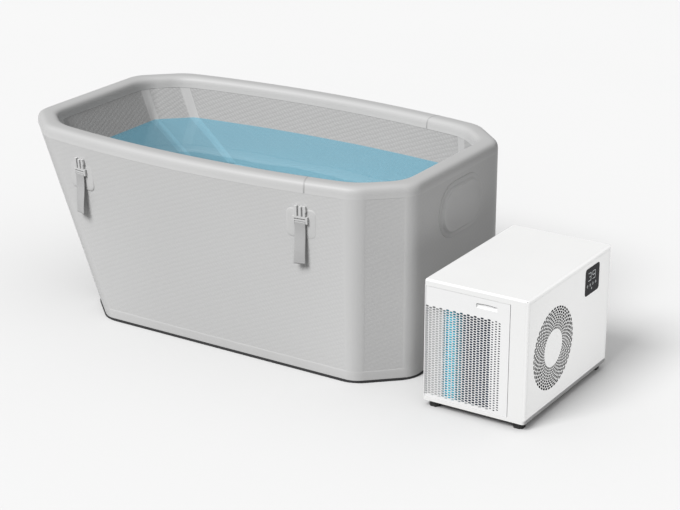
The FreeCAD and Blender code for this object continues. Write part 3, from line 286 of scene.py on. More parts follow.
def dust_group():
    """Thin dust that gathers towards the floor and breaks up in patches."""
    group, entry, leave = new_group("floor_dust", ["Mask"], Reach=0.12, Amount=0.2)
    place = object_place(group)
    height = dot(group, place, Z)
    near = calc(group, "SUBTRACT", 1.0, calc(group, "DIVIDE", height, entry["Reach"]))
    near = calc(group, "MINIMUM", calc(group, "MAXIMUM", near, 0.0), 1.0)
    patch = calc(group, "MULTIPLY", near, noise(group, place, 18.0, 5.0))
    put(group, leave["Mask"], calc(group, "MULTIPLY", patch, entry["Amount"]))
    return group


def weave_group():
    """Ribbed webbing: ribs across and a twill slant along, on the strap's surface map in metres."""
    group, entry, leave = new_group("webbing_weave", ["Height", "Tone"], Rib=0.0016)
    surface = surface_place(group)
    across = dot(group, surface, X)
    along = dot(group, surface, Y)
    turn = calc(group, "DIVIDE", 2 * math.pi, entry["Rib"])
    warp = calc(group, "SINE", calc(group, "MULTIPLY", calc(group, "ADD", along, across), turn))
    weft = calc(group, "SINE", calc(group, "MULTIPLY", across, turn))
    height = calc(group, "MULTIPLY_ADD", calc(group, "MULTIPLY", warp, weft), 0.5, 0.5)
    put(group, leave["Height"], height)
    put(group, leave["Tone"], noise(group, surface, 400.0, 3.0))
    return group


STITCH = stitch_group()
GRAIN = grain_group()
DUST = dust_group()
WEAVE = weave_group()


# Finishes

FABRIC_DUST = (0.42, 0.40, 0.37, 1)
METAL_DUST = (0.55, 0.53, 0.50, 1)
# Height band of the rim's painted light: the lower edge is painted lighter than the top
RIM_PAINTED_LIGHT_LOW, RIM_PAINTED_LIGHT_REACH = 0.642, 0.028
# Painted light on the coil: the first fins bright, fading to navy painted shade deeper in
PAINTED_LIT_FINS_END, PAINTED_LIGHT_FADE = 1.006, 0.060
FIN_PITCH, TUBE_PITCH = 0.0022, 0.025
PAINTED_LIT_FINS, PAINTED_SHADED_FINS = (0.10, 0.80, 1.0, 1), (0.008, 0.036, 0.090, 1)


def grey(level):
    return (level, level, level, 1.0)


def new_finish(name):
    material = bpy.data.materials.new(name)
    material.use_nodes = True
    return material, material.node_tree


def dress(tree, **looks):
    """Link or set inputs of a finish's own shader."""
    fill(tree, tree.nodes["Principled BSDF"], **looks)


def tinted(tree, colour, tone, amount):
    """Colour that wanders a little lighter and darker with a tone."""
    dark = tuple(part * (1 - amount) for part in colour[:3]) + (1.0,)
    light = tuple(min(part * (1 + amount), 1.0) for part in colour[:3]) + (1.0,)
    return blend_colour(tree, tone, dark, light)


def fabric_tone(tree, level, tone):
    return tinted(tree, (level, level, level * 0.997), tone, 0.035)


def coated_fabric(name, level, along, up, pitch=0.016, emboss=0.3, dusty=0.0, gloss=0.5, edge=None,
                  mapped=False):
    """Coated fabric: matt, cloudy, embossed and dustier near the floor.

    Its pattern runs in space or on the piece's map. An edge level is painted light on the rim's lower edge,
    which is lighter than the rim's own level, itself painted shade on the top that faces the sun.
    """
    material, tree = new_finish(name)
    place = surface_place(tree) if mapped else object_place(tree)
    stitch = use_group(tree, STITCH, Place=place, Along=along, Up=up, Pitch=pitch)
    grain = use_group(tree, GRAIN, Grain_Scale=700.0, Tone_Scale=2.5)
    dust = use_group(tree, DUST, Reach=0.10, Amount=dusty)
    base = fabric_tone(tree, level, grain["Tone"])
    # Painted light and shade on the rim: lighter at its lower edge, fading up into the darker level painted
    # on its top
    if edge is not None:
        above = calc(tree, "SUBTRACT", dot(tree, object_place(tree), Z), RIM_PAINTED_LIGHT_LOW)
        share = calc(tree, "DIVIDE", above, RIM_PAINTED_LIGHT_REACH)
        base = blend_colour(tree, share, fabric_tone(tree, edge, grain["Tone"]), base)
    # Painted shade: the emboss grooves are darkened in the colour
    line = calc(tree, "MULTIPLY", stitch["Line"], 0.5 * emboss)
    base = blend_colour(tree, line, base, grey(level * 0.55))
    height = calc(tree, "MULTIPLY_ADD", grain["Grain"], 0.12, stitch["Height"])
    dress(tree, Base_Color=blend_colour(tree, dust["Mask"], base, FABRIC_DUST),
          Roughness=spread(tree, grain["Tone"], gloss - 0.06, gloss + 0.08),
          Normal=bump(tree, height, emboss, 0.0012))
    return material


def moulded(name, colour, roughness=0.45, grain_size=1400.0, depth=0.12):
    """Moulded plastic or rubber with a fine spark-eroded grain."""
    material, tree = new_finish(name)
    grain = use_group(tree, GRAIN, Grain_Scale=grain_size, Tone_Scale=9.0)
    dress(tree, Base_Color=tinted(tree, colour, grain["Tone"], 0.05),
          Roughness=spread(tree, grain["Tone"], roughness - 0.06, roughness + 0.06),
          Normal=bump(tree, grain["Grain"], depth, 0.0004))
    return material


def powder_coat(name, colour, roughness=0.42):
    """Powder coat: slight orange peel, a breath of dust near the floor."""
    material, tree = new_finish(name)
    grain = use_group(tree, GRAIN, Grain_Scale=420.0, Tone_Scale=5.0)
    dust = use_group(tree, DUST, Reach=0.06, Amount=0.10)
    base = tinted(tree, colour, grain["Tone"], 0.012)
    dress(tree, Base_Color=blend_colour(tree, dust["Mask"], base, METAL_DUST),
          Roughness=spread(tree, grain["Tone"], roughness - 0.05, roughness + 0.05),
          Normal=bump(tree, grain["Grain"], 0.05, 0.0006))
    return material


def brushed(name, colour, along, roughness=0.35):
    """Brushed metal: streaks drawn out along one direction."""
    material, tree = new_finish(name)
    stretch = fill(tree, tree.nodes.new("ShaderNodeMapping"), Vector=object_place(tree), Scale=along)
    streak = noise(tree, stretch["Vector"], 60.0, 4.0)
    dress(tree, Base_Color=tinted(tree, colour, streak, 0.12), Metallic=1.0,
          Roughness=spread(tree, streak, roughness - 0.1, roughness + 0.12),
          Normal=bump(tree, streak, 0.08, 0.0004))
    return material


def finned(name):
    """Blue condenser of one blue: painted light on the first fins as bright cyan, fading to navy painted
    shade deeper in; thin upright fins crossed by tube rows, with painted shade between them.
    """
    material, tree = new_finish(name)
    place = object_place(tree)
    along = dot(tree, place, X)
    fins = ribs(tree, along, math.pi / FIN_PITCH)
    tubes = ribs(tree, dot(tree, place, Z), math.pi / TUBE_PITCH)
    # Painted light: the first fins bright, fading along X into the navy painted shade of the rest
    fade = spread(tree, along, 0.0, 1.0, PAINTED_LIT_FINS_END, PAINTED_LIT_FINS_END + PAINTED_LIGHT_FADE, "SMOOTHSTEP")
    sheet = blend_colour(tree, fade, PAINTED_LIT_FINS, PAINTED_SHADED_FINS)
    # Painted shade between the fins and along the tube rows
    shade = calc(tree, "MULTIPLY_ADD", fins, 0.25, calc(tree, "MULTIPLY_ADD", tubes, 0.25, 0.5))
    dress(tree, Base_Color=blend_colour(tree, shade, grey(0.0), sheet), Roughness=0.45,
          Normal=bump(tree, fins, 0.3, 0.001))
    return material


def woven(name, level):
    """Grey polyester webbing."""
    material, tree = new_finish(name)
    weave = use_group(tree, WEAVE, Rib=0.0022)
    grain = use_group(tree, GRAIN, Grain_Scale=500.0, Tone_Scale=12.0)
    base = blend_colour(tree, weave["Height"], grey(level * 0.72), grey(level * 1.08))
    worn = calc(tree, "MULTIPLY", weave["Tone"], 0.25)
    dress(tree, Base_Color=blend_colour(tree, worn, base, grey(level * 0.6)),
          Roughness=spread(tree, grain["Tone"], 0.7, 0.85),
          Normal=bump(tree, weave["Height"], 0.5, 0.0005), Sheen_Weight=0.25)
    return material


def pool_water(name):
    """Clear water: a refracting skin, faintly milky blue, that lets light through to what lies below."""
    material, tree = new_finish(name)
    place = object_place(tree)
    tint = blend_colour(tree, noise(tree, place, 2.0, 1.0), (0.16, 0.66, 0.97, 1), (0.19, 0.69, 0.98, 1))
    dress(tree, Base_Color=tint, Roughness=0.02, Transmission_Weight=0.85, IOR=1.33,
          Normal=bump(tree, noise(tree, place, 9.0, 2.0), 0.02, 0.01))
    clear = tree.nodes.new("ShaderNodeBsdfTransparent")
    clear.inputs["Color"].default_value = (0.90, 0.92, 0.93, 1)
    path = tree.nodes.new("ShaderNodeLightPath")
    choice = tree.nodes.new("ShaderNodeMixShader")
    put(tree, choice.inputs[0], calc(tree, "SUBTRACT", 1.0, path.outputs["Is Camera Ray"]))
    put(tree, choice.inputs[1], tree.nodes["Principled BSDF"].outputs[0])
    put(tree, choice.inputs[2], clear.outputs[0])
    put(tree, tree.nodes["Material Output"].inputs["Surface"], choice.outputs[0])
    return material


def dark_glass(name):
    """Black display window with faint smears."""
    material, tree = new_finish(name)
    grain = use_group(tree, GRAIN, Grain_Scale=60.0, Tone_Scale=22.0)
    dress(tree, Base_Color=tinted(tree, (0.012, 0.012, 0.014), grain["Tone"], 0.3),
          Roughness=spread(tree, grain["Grain"], 0.14, 0.26), Specular_IOR_Level=0.04)
    return material


def lit_segment(name):
    """Pale lit strokes on the display."""
    material, tree = new_finish(name)
    glow = noise(tree, object_place(tree), 200.0, 1.0)
    dress(tree, Base_Color=blend_colour(tree, glow, (0.40, 0.42, 0.43, 1), (0.55, 0.57, 0.58, 1)),
          Emission_Color=blend_colour(tree, glow, (0.5, 0.52, 0.53, 1), (0.65, 0.67, 0.68, 1)),
          Emission_Strength=0.12, Roughness=0.4)
    return material


# The rim levels are painted light and shade: the top is darker and the lower edge lighter than the same
# fabric on the wall
WALL_LEVEL, INNER_WALL_PAINTED_SHADE_LEVEL, RIM_TOP_PAINTED_SHADE_LEVEL, RIM_EDGE_PAINTED_LIGHT_LEVEL = 0.60, 0.50, 0.50, 0.63
SLANT = (1, 1, 0)
FINISHES = {
    "wall": coated_fabric("wall_fabric", WALL_LEVEL, X, Y, emboss=0.14, dusty=0.08, mapped=True),
    # Inner faces of the wall: the same fabric painted darker as shade
    "inner_wall": coated_fabric("inner_wall_painted_shade_fabric", INNER_WALL_PAINTED_SHADE_LEVEL, X, Y, emboss=0.42, mapped=True),
    "floor": coated_fabric("floor_fabric", 0.66, X, Y),
    "rim": coated_fabric("rim_fabric_painted_light_and_shade", RIM_TOP_PAINTED_SHADE_LEVEL, X, Y, 0.004, 0.05, edge=RIM_EDGE_PAINTED_LIGHT_LEVEL),
    "tape": coated_fabric("tape_film", WALL_LEVEL, SLANT, Z, 0.005, 0.04, dusty=0.08, gloss=0.45),
    "inner_tape": coated_fabric("inner_tape_film", 0.60, SLANT, Z, 0.005, 0.06, gloss=0.34),
    "pad": coated_fabric("pad_fabric", WALL_LEVEL, X, Z, 0.005, 0.06),
    "patch": coated_fabric("patch_fabric", 0.54, Y, Z, 0.006, 0.06, gloss=0.4),
    "sole": moulded("sole_rubber", (0.025, 0.025, 0.026), 0.7, 500.0, 0.3),
    "feet": moulded("foot_rubber", grey(0.018), 0.6, 700.0, 0.2),
    "buckle": moulded("buckle_plastic", grey(0.62), 0.40),
    "valve": moulded("valve_plastic", (0.36, 0.36, 0.37), 0.45),
    "port": moulded("port_plastic", (0.045, 0.045, 0.047), 0.42),
    "case": powder_coat("case_powder_coat", (0.875, 0.875, 0.87)),
    "door": powder_coat("door_plastic", grey(0.88), 0.36),
    # The baffle stands for a white sheet in shade: its grey is painted shade
    "baffle": powder_coat("baffle_painted_shade_grey", grey(0.58)),
    "dark": moulded("dark_plastic", (0.03, 0.03, 0.032), 0.5),
    "glass": dark_glass("display_window"),
    "digits": lit_segment("display_strokes"),
    "board": moulded("board_laminate", (0.03, 0.16, 0.07), 0.4),
    "steel": brushed("rolled_steel", (0.55, 0.55, 0.56), (1, 1, 30)),
    "black_metal": moulded("compressor_enamel", grey(0.02), 0.35, 300.0, 0.1),
    "pipe": moulded("water_hose_rubber", (0.06, 0.06, 0.065), 0.55, 400.0, 0.2),
    "fins": finned("condenser_fins"),
    "webbing": woven("strap_webbing", 0.53),
    "water": pool_water("pool_water"),
    "screw": brushed("screw_steel", (0.62, 0.62, 0.63), (1, 1, 1), 0.3),
    "seam": moulded("seam_weld", grey(0.40), 0.5, 900.0, 0.1),
}

SOLID_FINISHES = {
    "floor": ["floor_panel"],
    "sole": ["sole"],
    "feet": ["chiller_feet"],
    "buckle": ["buckle_front_head", "buckle_front_foot", "buckle_back_head", "buckle_back_foot"],
    "valve": ["valve_body", "valve_poppet", "valve_cap"],
    "port": ["port_suction", "port_return", "fitting_in", "fitting_out", "power_inlet"],
    "case": ["cabinet", "chiller_base", "rear_panel"],
    "dark": ["fan_shroud", "fan_rotor", "pump"],
    "glass": ["display"],
    "board": ["control_board"],
    "steel": ["fan_bracket", "fan_motor", "bulkhead", "condenser_plates", "heat_exchanger"],
    "black_metal": ["compressor"],
    "pipe": ["water_pipes"],
    "fins": ["condenser_core"],
}


def finish_solids():
    """Give every solid that stays in view its finish."""
    for finish, names in SOLID_FINISHES.items():
        for name in names:
            materials = nodes[name].data.materials
            materials.clear()
            materials.append(FINISHES[finish])


# Plan of the tub, as in the solids

HALF_LENGTH = 0.795
HALF_WIDTH = 0.422
SIDE_BOW = 0.058
CORNER_RUN = 0.150
CORNER_RISE = 0.140
HEAD_LEAN = 0.253
WALL_THICK = 0.070
SOLE_THICK = 0.008
FLOOR_TOP = 0.068
WALL_TOP = 0.640
RIM_DEPTH = 0.040
BOW_RADIUS = ((HALF_LENGTH - CORNER_RUN) ** 2 + SIDE_BOW ** 2) / (2 * SIDE_BOW)
BOW_CENTRE = HALF_WIDTH + SIDE_BOW - BOW_RADIUS
PLAN_STEP = 0.008
CORNER_STEPS, SIDE_STEPS, END_STEPS = 26, 162, 70
PANEL_STEPS = (CORNER_STEPS, SIDE_STEPS, CORNER_STEPS, END_STEPS) * 2
PANEL_STARTS = np.concatenate([[0], np.cumsum(PANEL_STEPS)[:-1]])
MIRROR = np.array([1, -1])


def straight_run(start, end, steps):
    """Evenly spaced points from a start up to, but not on, an end."""
    return start + np.linspace(0, 1, steps, endpoint=False)[:, None] * (end - start)


def eased(ring, length):
    """Closed ring whose corners are rounded by a running mean over a length."""
    count = max(int(round(length / PLAN_STEP)), 1) | 1
    reach = count // 2
    longer = np.concatenate([ring[-reach:], ring, ring[:reach]]) if reach else ring
    mean = np.ones(count) / count
    return np.stack([np.convolve(longer[:, axis], mean, "valid") for axis in (0, 1)], axis=1)


def plan_ring(level, inset, ease=0.0):
    """Ring at a level, set in from the outer wall face: eight panels, the long ones bowed towards the top.

    It starts at the back corner of the foot end and runs by the back to the head.
    """
    slope = math.hypot(CORNER_RUN, CORNER_RISE)
    along, across = CORNER_RISE / slope, CORNER_RUN / slope
    reach = along * HALF_LENGTH + across * (HALF_WIDTH - CORNER_RISE) - inset
    end_x = HALF_LENGTH - inset
    end_y = (reach - along * end_x) / across
    bow = BOW_RADIUS - inset
    far = reach - across * BOW_CENTRE
    chord = math.sqrt(bow ** 2 - far ** 2)
    high = np.array([along * far - across * chord, BOW_CENTRE + across * far + along * chord])
    low_y = HALF_WIDTH - inset
    low = np.array([(reach - across * low_y) / along, low_y])
    low_head = np.array([HEAD_LEAN - low[0], low_y])
    rise = (level - SOLE_THICK) / (WALL_TOP - SOLE_THICK)
    foot_corner = np.array([end_x, end_y])
    head_corner = np.array([HEAD_LEAN * (1 - rise) - end_x, end_y])
    swing = np.arcsin(high[0] / bow) * np.linspace(1, -1, SIDE_STEPS, endpoint=False)
    arc = np.stack([bow * np.sin(swing), BOW_CENTRE + bow * np.cos(swing)], axis=1)
    chord_line = straight_run(low, low_head, SIDE_STEPS)
    back = chord_line + (arc - chord_line) * rise
    head_side = low_head + (high * [-1, 1] - low_head) * rise
    half = np.concatenate([straight_run(foot_corner, back[0], CORNER_STEPS), back,
                           straight_run(head_side, head_corner, CORNER_STEPS)])
    head_end = straight_run(head_corner, head_corner * MIRROR, END_STEPS)
    front = np.concatenate([head_corner[None], half[:0:-1]]) * MIRROR
    foot_end = straight_run(foot_corner * MIRROR, foot_corner, END_STEPS)
    return eased(np.concatenate([half, head_end, front, foot_end]), ease)


def outward(ring):
    """Unit vectors out of a ring, square to its run."""
    step = np.roll(ring, -1, axis=0) - np.roll(ring, 1, axis=0)
    way = np.stack([step[:, 1], -step[:, 0]], axis=1)
    return way / np.linalg.norm(way, axis=1)[:, None]


def ring_spots(ring, index):
    """Points of a ring at places between its own points."""
    count = len(ring)
    whole = np.floor(index).astype(int)
    share = (index - whole)[:, None]
    return ring[whole % count] * (1 - share) + ring[(whole + 1) % count] * share


# Walls, rim, tapes and water

WALL_EASE, INNER_EASE = 0.072, 0.024
RIM_OUTER_EASE, RIM_INNER_EASE = 0.072, 0.14
WATER_LEVEL = 0.525
WALL_LEVELS = np.concatenate([[0.0085, 0.009], np.linspace(0.03, 0.62, 24), [0.6425, 0.643]])
BORE_RADIUS, BORE_REACH, BORE_STEPS = 0.0125, 0.1, 24
VALVE_HOLE, VALVE_REACH = 0.0253, 0.03
PORT_FLANGE = 0.006


def wall_bores():
    """Middle, direction, radius and reach of each hole in the wall skin, from the record."""
    holes = [(mount, BORE_RADIUS, BORE_REACH) for mount in mounts
             if mount["name"] in ("suction_spigot", "return_spigot")]
    holes += [(joint, VALVE_HOLE, VALVE_REACH) for joint in joints if joint["name"] == "valve_cap_pull"]
    return [(np.array(row["pos_m"]), np.array(row["axis"]), radius, reach) for row, radius, reach in holes]


def bored(points, faces, middle, axis, radius, reach):
    """Skin with a round hole: faces inside go, and their other corners are drawn out to the circle."""
    away = points - middle
    depth = away @ axis
    flat = away - depth[:, None] * axis
    distance = np.linalg.norm(flat, axis=1)
    inside = (distance < radius) & (np.abs(depth) < reach)
    kept = faces[~inside[faces].all(axis=1)]
    edge = inside & (distance > 1e-6)
    pushed = points.copy()
    pushed[edge] += flat[edge] * (radius / distance[edge] - 1)[:, None]
    return pushed, kept


def inner_ease(level):
    """Rounding of the inner corners: tight below the water, growing into the rim's curve at the top."""
    rise = np.clip((level - WATER_LEVEL) / (WALL_TOP - WATER_LEVEL), 0, 1)
    return INNER_EASE + (RIM_INNER_EASE - INNER_EASE) * rise


def closed_skin(rows):
    """Points and outward faces of a tube of rings whose first ring faces away from the middle line."""
    points = rows.reshape(-1, 3)
    faces = grid_faces(rows.shape[0], rows.shape[1], True, True)
    first = facing(points, faces[:1], points[faces[0]].mean(axis=0) * [1, 1, 0])
    return points, faces if np.array_equal(first, faces[:1]) else faces[:, ::-1]


def wall_skin():
    """Outer face from foot to top, then inner face down again: rings of the plan as one closed skin."""
    down = WALL_LEVELS[::-1]
    outer = [raised(plan_ring(level, 0.0, WALL_EASE), level) for level in WALL_LEVELS]
    inner = [raised(plan_ring(level, WALL_THICK, inner_ease(level)), level) for level in down]
    step = np.linalg.norm(np.diff(outer[-1], axis=0, append=outer[-1][:1]), axis=1)
    run = np.concatenate([[0], np.cumsum(step)])
    heights = np.concatenate([WALL_LEVELS, 2 * WALL_TOP - down])
    uv = np.stack(np.broadcast_arrays(run[None, :-1], heights[:, None]), axis=-1).reshape(-1, 2)
    points, faces = closed_skin(np.array(outer + inner))
    for bore in wall_bores():
        points, faces = bored(points, faces, *bore)
    piece = make_piece("drop_stitch_walls", [(points, faces)], "wall", uv=uv, around=run[-1])
    # The inner faces take the darker fabric, which is painted shade
    piece.data.materials.append(FINISHES["inner_wall"])
    inside = uv[faces][..., 1].mean(axis=1) > WALL_TOP
    piece.data.polygons.foreach_set("material_index", inside.astype(np.int32))
    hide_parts("wall_front", "wall_back", "wall_head", "wall_foot", "corner_foot_front",
                "corner_foot_back", "corner_head_front", "corner_head_back")


def bore_tubes():
    """Short tubes through the wall behind the two hose ports: a circle carried along each port's axis."""
    parts = []
    for middle, axis, radius, _ in wall_bores()[:2]:
        side = np.array([-axis[1], axis[0], 0])
        circle = radius * compass(full_turn(BORE_STEPS)) @ np.array([side, Z])
        depths = (PORT_FLANGE, PORT_FLANGE + WALL_THICK)
        points = np.concatenate([middle + circle - depth * axis for depth in depths])
        faces = grid_faces(2, BORE_STEPS, wrap_columns=True)
        inwards = middle - (PORT_FLANGE + WALL_THICK / 2) * axis - points[faces].mean(axis=1)
        parts.append((points, facing(points, faces, inwards)))
    make_piece("port_bore_linings", parts, "tape")


RIM_OUT, RIM_IN = 0.0003, 0.001
RIM_LOW = WALL_TOP - 0.001
RIM_FULLNESS, RIM_STEPS, RIM_START = 3.4, 33, 0.05
RIM_FIRST = np.array([0, 0.0001, 0.004])
SEAM_ALONG, SEAM_WIDTH, SEAM_HEIGHT, SEAM_SUNK = 0.460, 0.0035, 0.0006, 0.0002
LONG_PANELS, SEAM_STEPS = (1, 5), 9


def rim_rows(index, lift):
    """Rim section at places round the plan: a full oval from the outer ring over to the inner ring."""
    outer = ring_spots(plan_ring(WALL_TOP, -RIM_OUT, RIM_OUTER_EASE), index)
    inner = ring_spots(plan_ring(WALL_TOP, WALL_THICK + RIM_IN, RIM_INNER_EASE), index)
    over = np.linspace(RIM_START, math.pi - RIM_START, RIM_STEPS)
    turn = np.concatenate([RIM_FIRST, over, math.pi - RIM_FIRST[::-1]])
    across = np.sign(np.cos(turn)) * np.abs(np.cos(turn)) ** (2 / RIM_FULLNESS)
    up = np.abs(np.sin(turn)) ** (2 / RIM_FULLNESS)
    half = (outer - inner) / 2
    half *= (1 + lift / np.linalg.norm(half, axis=1))[:, None]
    plan = (outer + inner)[None] / 2 + across[:, None, None] * half[None]
    return raised(plan, RIM_LOW + up[:, None] * (WALL_TOP + RIM_DEPTH - RIM_LOW + lift)[None])


def inflated_rim():
    """Rim section carried once round the plan, closed below."""
    index = np.arange(sum(PANEL_STEPS), dtype=float)
    piece = make_piece("inflated_rim", [closed_skin(rim_rows(index, 0 * index))], "rim")
    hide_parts("rim_head", "rim_foot")


def rim_seams():
    """Welded cross seams: the rim's section over a short low bead, on both long sides."""
    run = np.linspace(-1, 1, SEAM_STEPS)
    lift = SEAM_HEIGHT * np.sqrt(np.clip(1 - run ** 2, 0, 1)) - SEAM_SUNK
    ring = plan_ring(WALL_TOP, WALL_THICK / 2)
    parts = []
    for panel in LONG_PANELS:
        columns = PANEL_STARTS[panel] + np.arange(SIDE_STEPS)
        order = np.argsort(ring[columns, 0])
        middle = np.interp(SEAM_ALONG, ring[columns[order], 0], columns[order])
        rows = rim_rows(middle + run * SEAM_WIDTH / PLAN_STEP, lift)[2:-2]
        points = rows.reshape(-1, 3)
        inside = np.append(ring_spots(ring, np.array([middle]))[0], WALL_TOP)
        parts.append((points, away_from(points, grid_faces(*rows.shape[:2]), inside)))
    make_piece("rim_cross_seams", parts, "seam")


STRIP_EDGE = np.array([-1, -0.95, -0.85, -0.6, -0.35, -0.2, -0.1])
STRIP_SPOTS = np.concatenate([STRIP_EDGE, [0], -STRIP_EDGE[::-1]])
STRIP_LIFT = MM * np.array([-0.15, 0.1, 0.35] + [0.4] * 9 + [0.35, 0.1, -0.15])
OUTER_TAPE, INNER_TAPE, TAPE_ROWS = 0.040, 0.024, 12
OUTER_TAPE_LOW, OUTER_TAPE_TOP, INNER_TAPE_TOP = 0.0095, WALL_TOP + 0.001, 0.6428


def corner_strips(inset, eases, half_width, levels, side):
    """Welded strips over the eight corners: ring points near each corner, lifted off the wall."""
    index = PANEL_STARTS[:, None] + STRIP_SPOTS * half_width / PLAN_STEP
    layers = []
    for level, ease in zip(levels, eases):
        ring = plan_ring(level, inset, ease)
        away = ring_spots(outward(ring), index.ravel()) * side
        spots = ring_spots(ring, index.ravel()) + away * np.tile(STRIP_LIFT, len(index))[:, None]
        layers.append(raised(spots, level).reshape(len(index), -1, 3))
    corners = np.stack(layers, axis=1)
    ways = ring_spots(outward(ring), PANEL_STARTS.astype(float)) * side
    parts = []
    for points, way in zip(corners, ways):
        flat = points.reshape(-1, 3)
        parts.append((flat, facing(flat, grid_faces(*points.shape[:2]), np.append(way, 0))))
    return parts


def corner_tapes():
    """Smooth tapes down the outer corners, and narrower ones in the inner corners."""
    levels = np.linspace(OUTER_TAPE_LOW, OUTER_TAPE_TOP, TAPE_ROWS)
    strips = corner_strips(0.0, np.full(TAPE_ROWS, WALL_EASE), OUTER_TAPE, levels, 1)
    make_piece("outer_corner_tapes", strips, "tape")
    between = (WALL_LEVELS > FLOOR_TOP) & (WALL_LEVELS < INNER_TAPE_TOP)
    levels = np.concatenate([[FLOOR_TOP], WALL_LEVELS[between]])
    strips = corner_strips(WALL_THICK, inner_ease(levels), INNER_TAPE, levels, -1)
    piece = make_piece("inner_corner_tapes", strips, "inner_tape")
    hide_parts("corner_tapes")


BASE_LEVELS = np.array([0.0088, 0.012, 0.034, 0.0385, 0.0405, 0.0425])
BASE_LIFT = MM * np.array([0.6, 0.6, 0.6, 0.55, 0.3, -0.2])
BASE_WAVE, BASE_WAVE_TURN, BASE_WAVE_LOW = 0.0006, 0.31, 0.035


def base_tape():
    """Band round the foot of the wall: outer rings lifted off the wall, feathered at the upper edge."""
    rows = []
    for level, lift in zip(BASE_LEVELS, BASE_LIFT):
        ring = plan_ring(level, 0.0, WALL_EASE)
        wave = BASE_WAVE * np.sin(np.arange(len(ring)) * BASE_WAVE_TURN) * (level > BASE_WAVE_LOW)
        rows.append(raised(ring + outward(ring) * lift, level + wave))
    points = np.concatenate(rows)
    faces = grid_faces(len(rows), len(ring), wrap_columns=True)
    faces = facing(points, faces, np.tile(raised(outward(ring), 0.0), (len(rows) - 1, 1)))
    make_piece("base_tape", [(points, faces)], "tape")


WATER_INSET, WATER_ROWS, RIPPLE = 0.0018, 90, 0.00012


def water_surface():
    """Straight lines from front to back between mirrored points of the inner plan, faintly rippled."""
    half = plan_ring(WATER_LEVEL, WALL_THICK + WATER_INSET)[:PANEL_STARTS[3] + 1]
    x, y = np.broadcast_arrays(half[:, :1], half[:, 1:] * np.linspace(-1, 1, WATER_ROWS))
    waves = np.sin(31 * x + 9 * y) + np.sin(17 * x - 23 * y + 1.3) + np.sin(11 * y + 5 * x + 0.4)
    points = np.stack([x, y, WATER_LEVEL + RIPPLE * waves], axis=-1).reshape(-1, 3)
    faces = facing(points, grid_faces(*x.shape), Z)
    make_piece("water_surface", [(points, faces)], "water")


# Straps, their pads and the oval patch

PAD_CLEAR = 0.0005
PAD_WIDTH, PAD_HEIGHT, PAD_THICK = 0.110, 0.104, 0.0014
PAD_CORNER, PAD_CORNER_STEPS, PAD_DROP = 0.020, 9, 0.006
PAD_INSETS = np.array([0, 0.003, 0.006, 0.009, 0.03])
PAD_HEIGHTS = PAD_THICK * np.array([-0.8, 0.05, 0.45, 0.6, 0.7])
WEB_WIDTH, WEB_THICK = 0.040, 0.0016
BAR_RADIUS, BAR_CLEAR = 0.0025, 0.0003
WEB_STEPS, TURN_STEPS = 17, 14
SEWN_LENGTH, SEWN_STEPS = 0.046, 13
TAIL_LENGTH, TAIL_DRIFT, TAIL_STEPS = 0.140, 0.011, 44
TAIL_TWIST, TWIST_START, TWIST_RUN = 0.0035, 0.07, 0.12
BAR_DEPTH = 2 * PAD_CLEAR + PAD_THICK + BAR_RADIUS + BAR_CLEAR + WEB_THICK
SIDE_SPREAD = 0.0286
SIDE_LEAN = math.atan(SIDE_SPREAD / (WALL_TOP - SOLE_THICK))


def strap_seats():
    """For each buckle's hinge: the bar's middle, the run along the bar, the way out and the way up."""
    seats = []
    for joint in joints:
        if not joint["child"].startswith("buckle"):
            continue
        run = np.array(joint["axis"], dtype=float)
        run /= np.linalg.norm(run)
        up = math.cos(SIDE_LEAN) * np.array(Z) + math.sin(SIDE_LEAN) * np.cross(run, Z)
        seats.append((np.array(joint["pos_m"], dtype=float), run, np.cross(run, up), up))
    return seats


def on_seat(seat, across, out, up):
    """Points given along the bar, out of the wall and up it, from the bar's middle."""
    middle, run, away, rise = seat
    return middle + across[..., None] * run + out[..., None] * away + up[..., None] * rise


def web_path():
    """Middle line of the webbing, out and up from the bar: sewn run, half turn, drifting tail."""
    turn_radius = BAR_RADIUS + BAR_CLEAR + WEB_THICK / 2
    sewn = np.linspace(0, 1, SEWN_STEPS, endpoint=False)
    back = np.stack([np.full(SEWN_STEPS, -turn_radius), -SEWN_LENGTH * (1 - sewn)], axis=1)
    over = turn_radius * compass(np.linspace(math.pi, 0, TURN_STEPS, endpoint=False))
    fall = np.linspace(0, 1, TAIL_STEPS)
    stand = turn_radius + TAIL_DRIFT * (fall ** 1.5 - 0.12 * np.sin(2 * math.pi * fall))
    tail = np.stack([stand, -TAIL_LENGTH * fall], axis=1)
    return np.concatenate([back, over, tail])


def web_section():
    """Flat webbing with thick rounded selvedges: across, and thickness, once round."""
    across = np.linspace(-1, 1, WEB_STEPS)
    selvedge = 0.82 + 0.18 * np.abs(across) ** 6
    bulge = 0.5 * WEB_THICK * selvedge * np.sqrt(np.clip(1 - across ** 40, 0.05, 1))
    face = np.stack([across * WEB_WIDTH / 2, bulge], axis=1)
    return np.concatenate([face, face[::-1] * MIRROR])


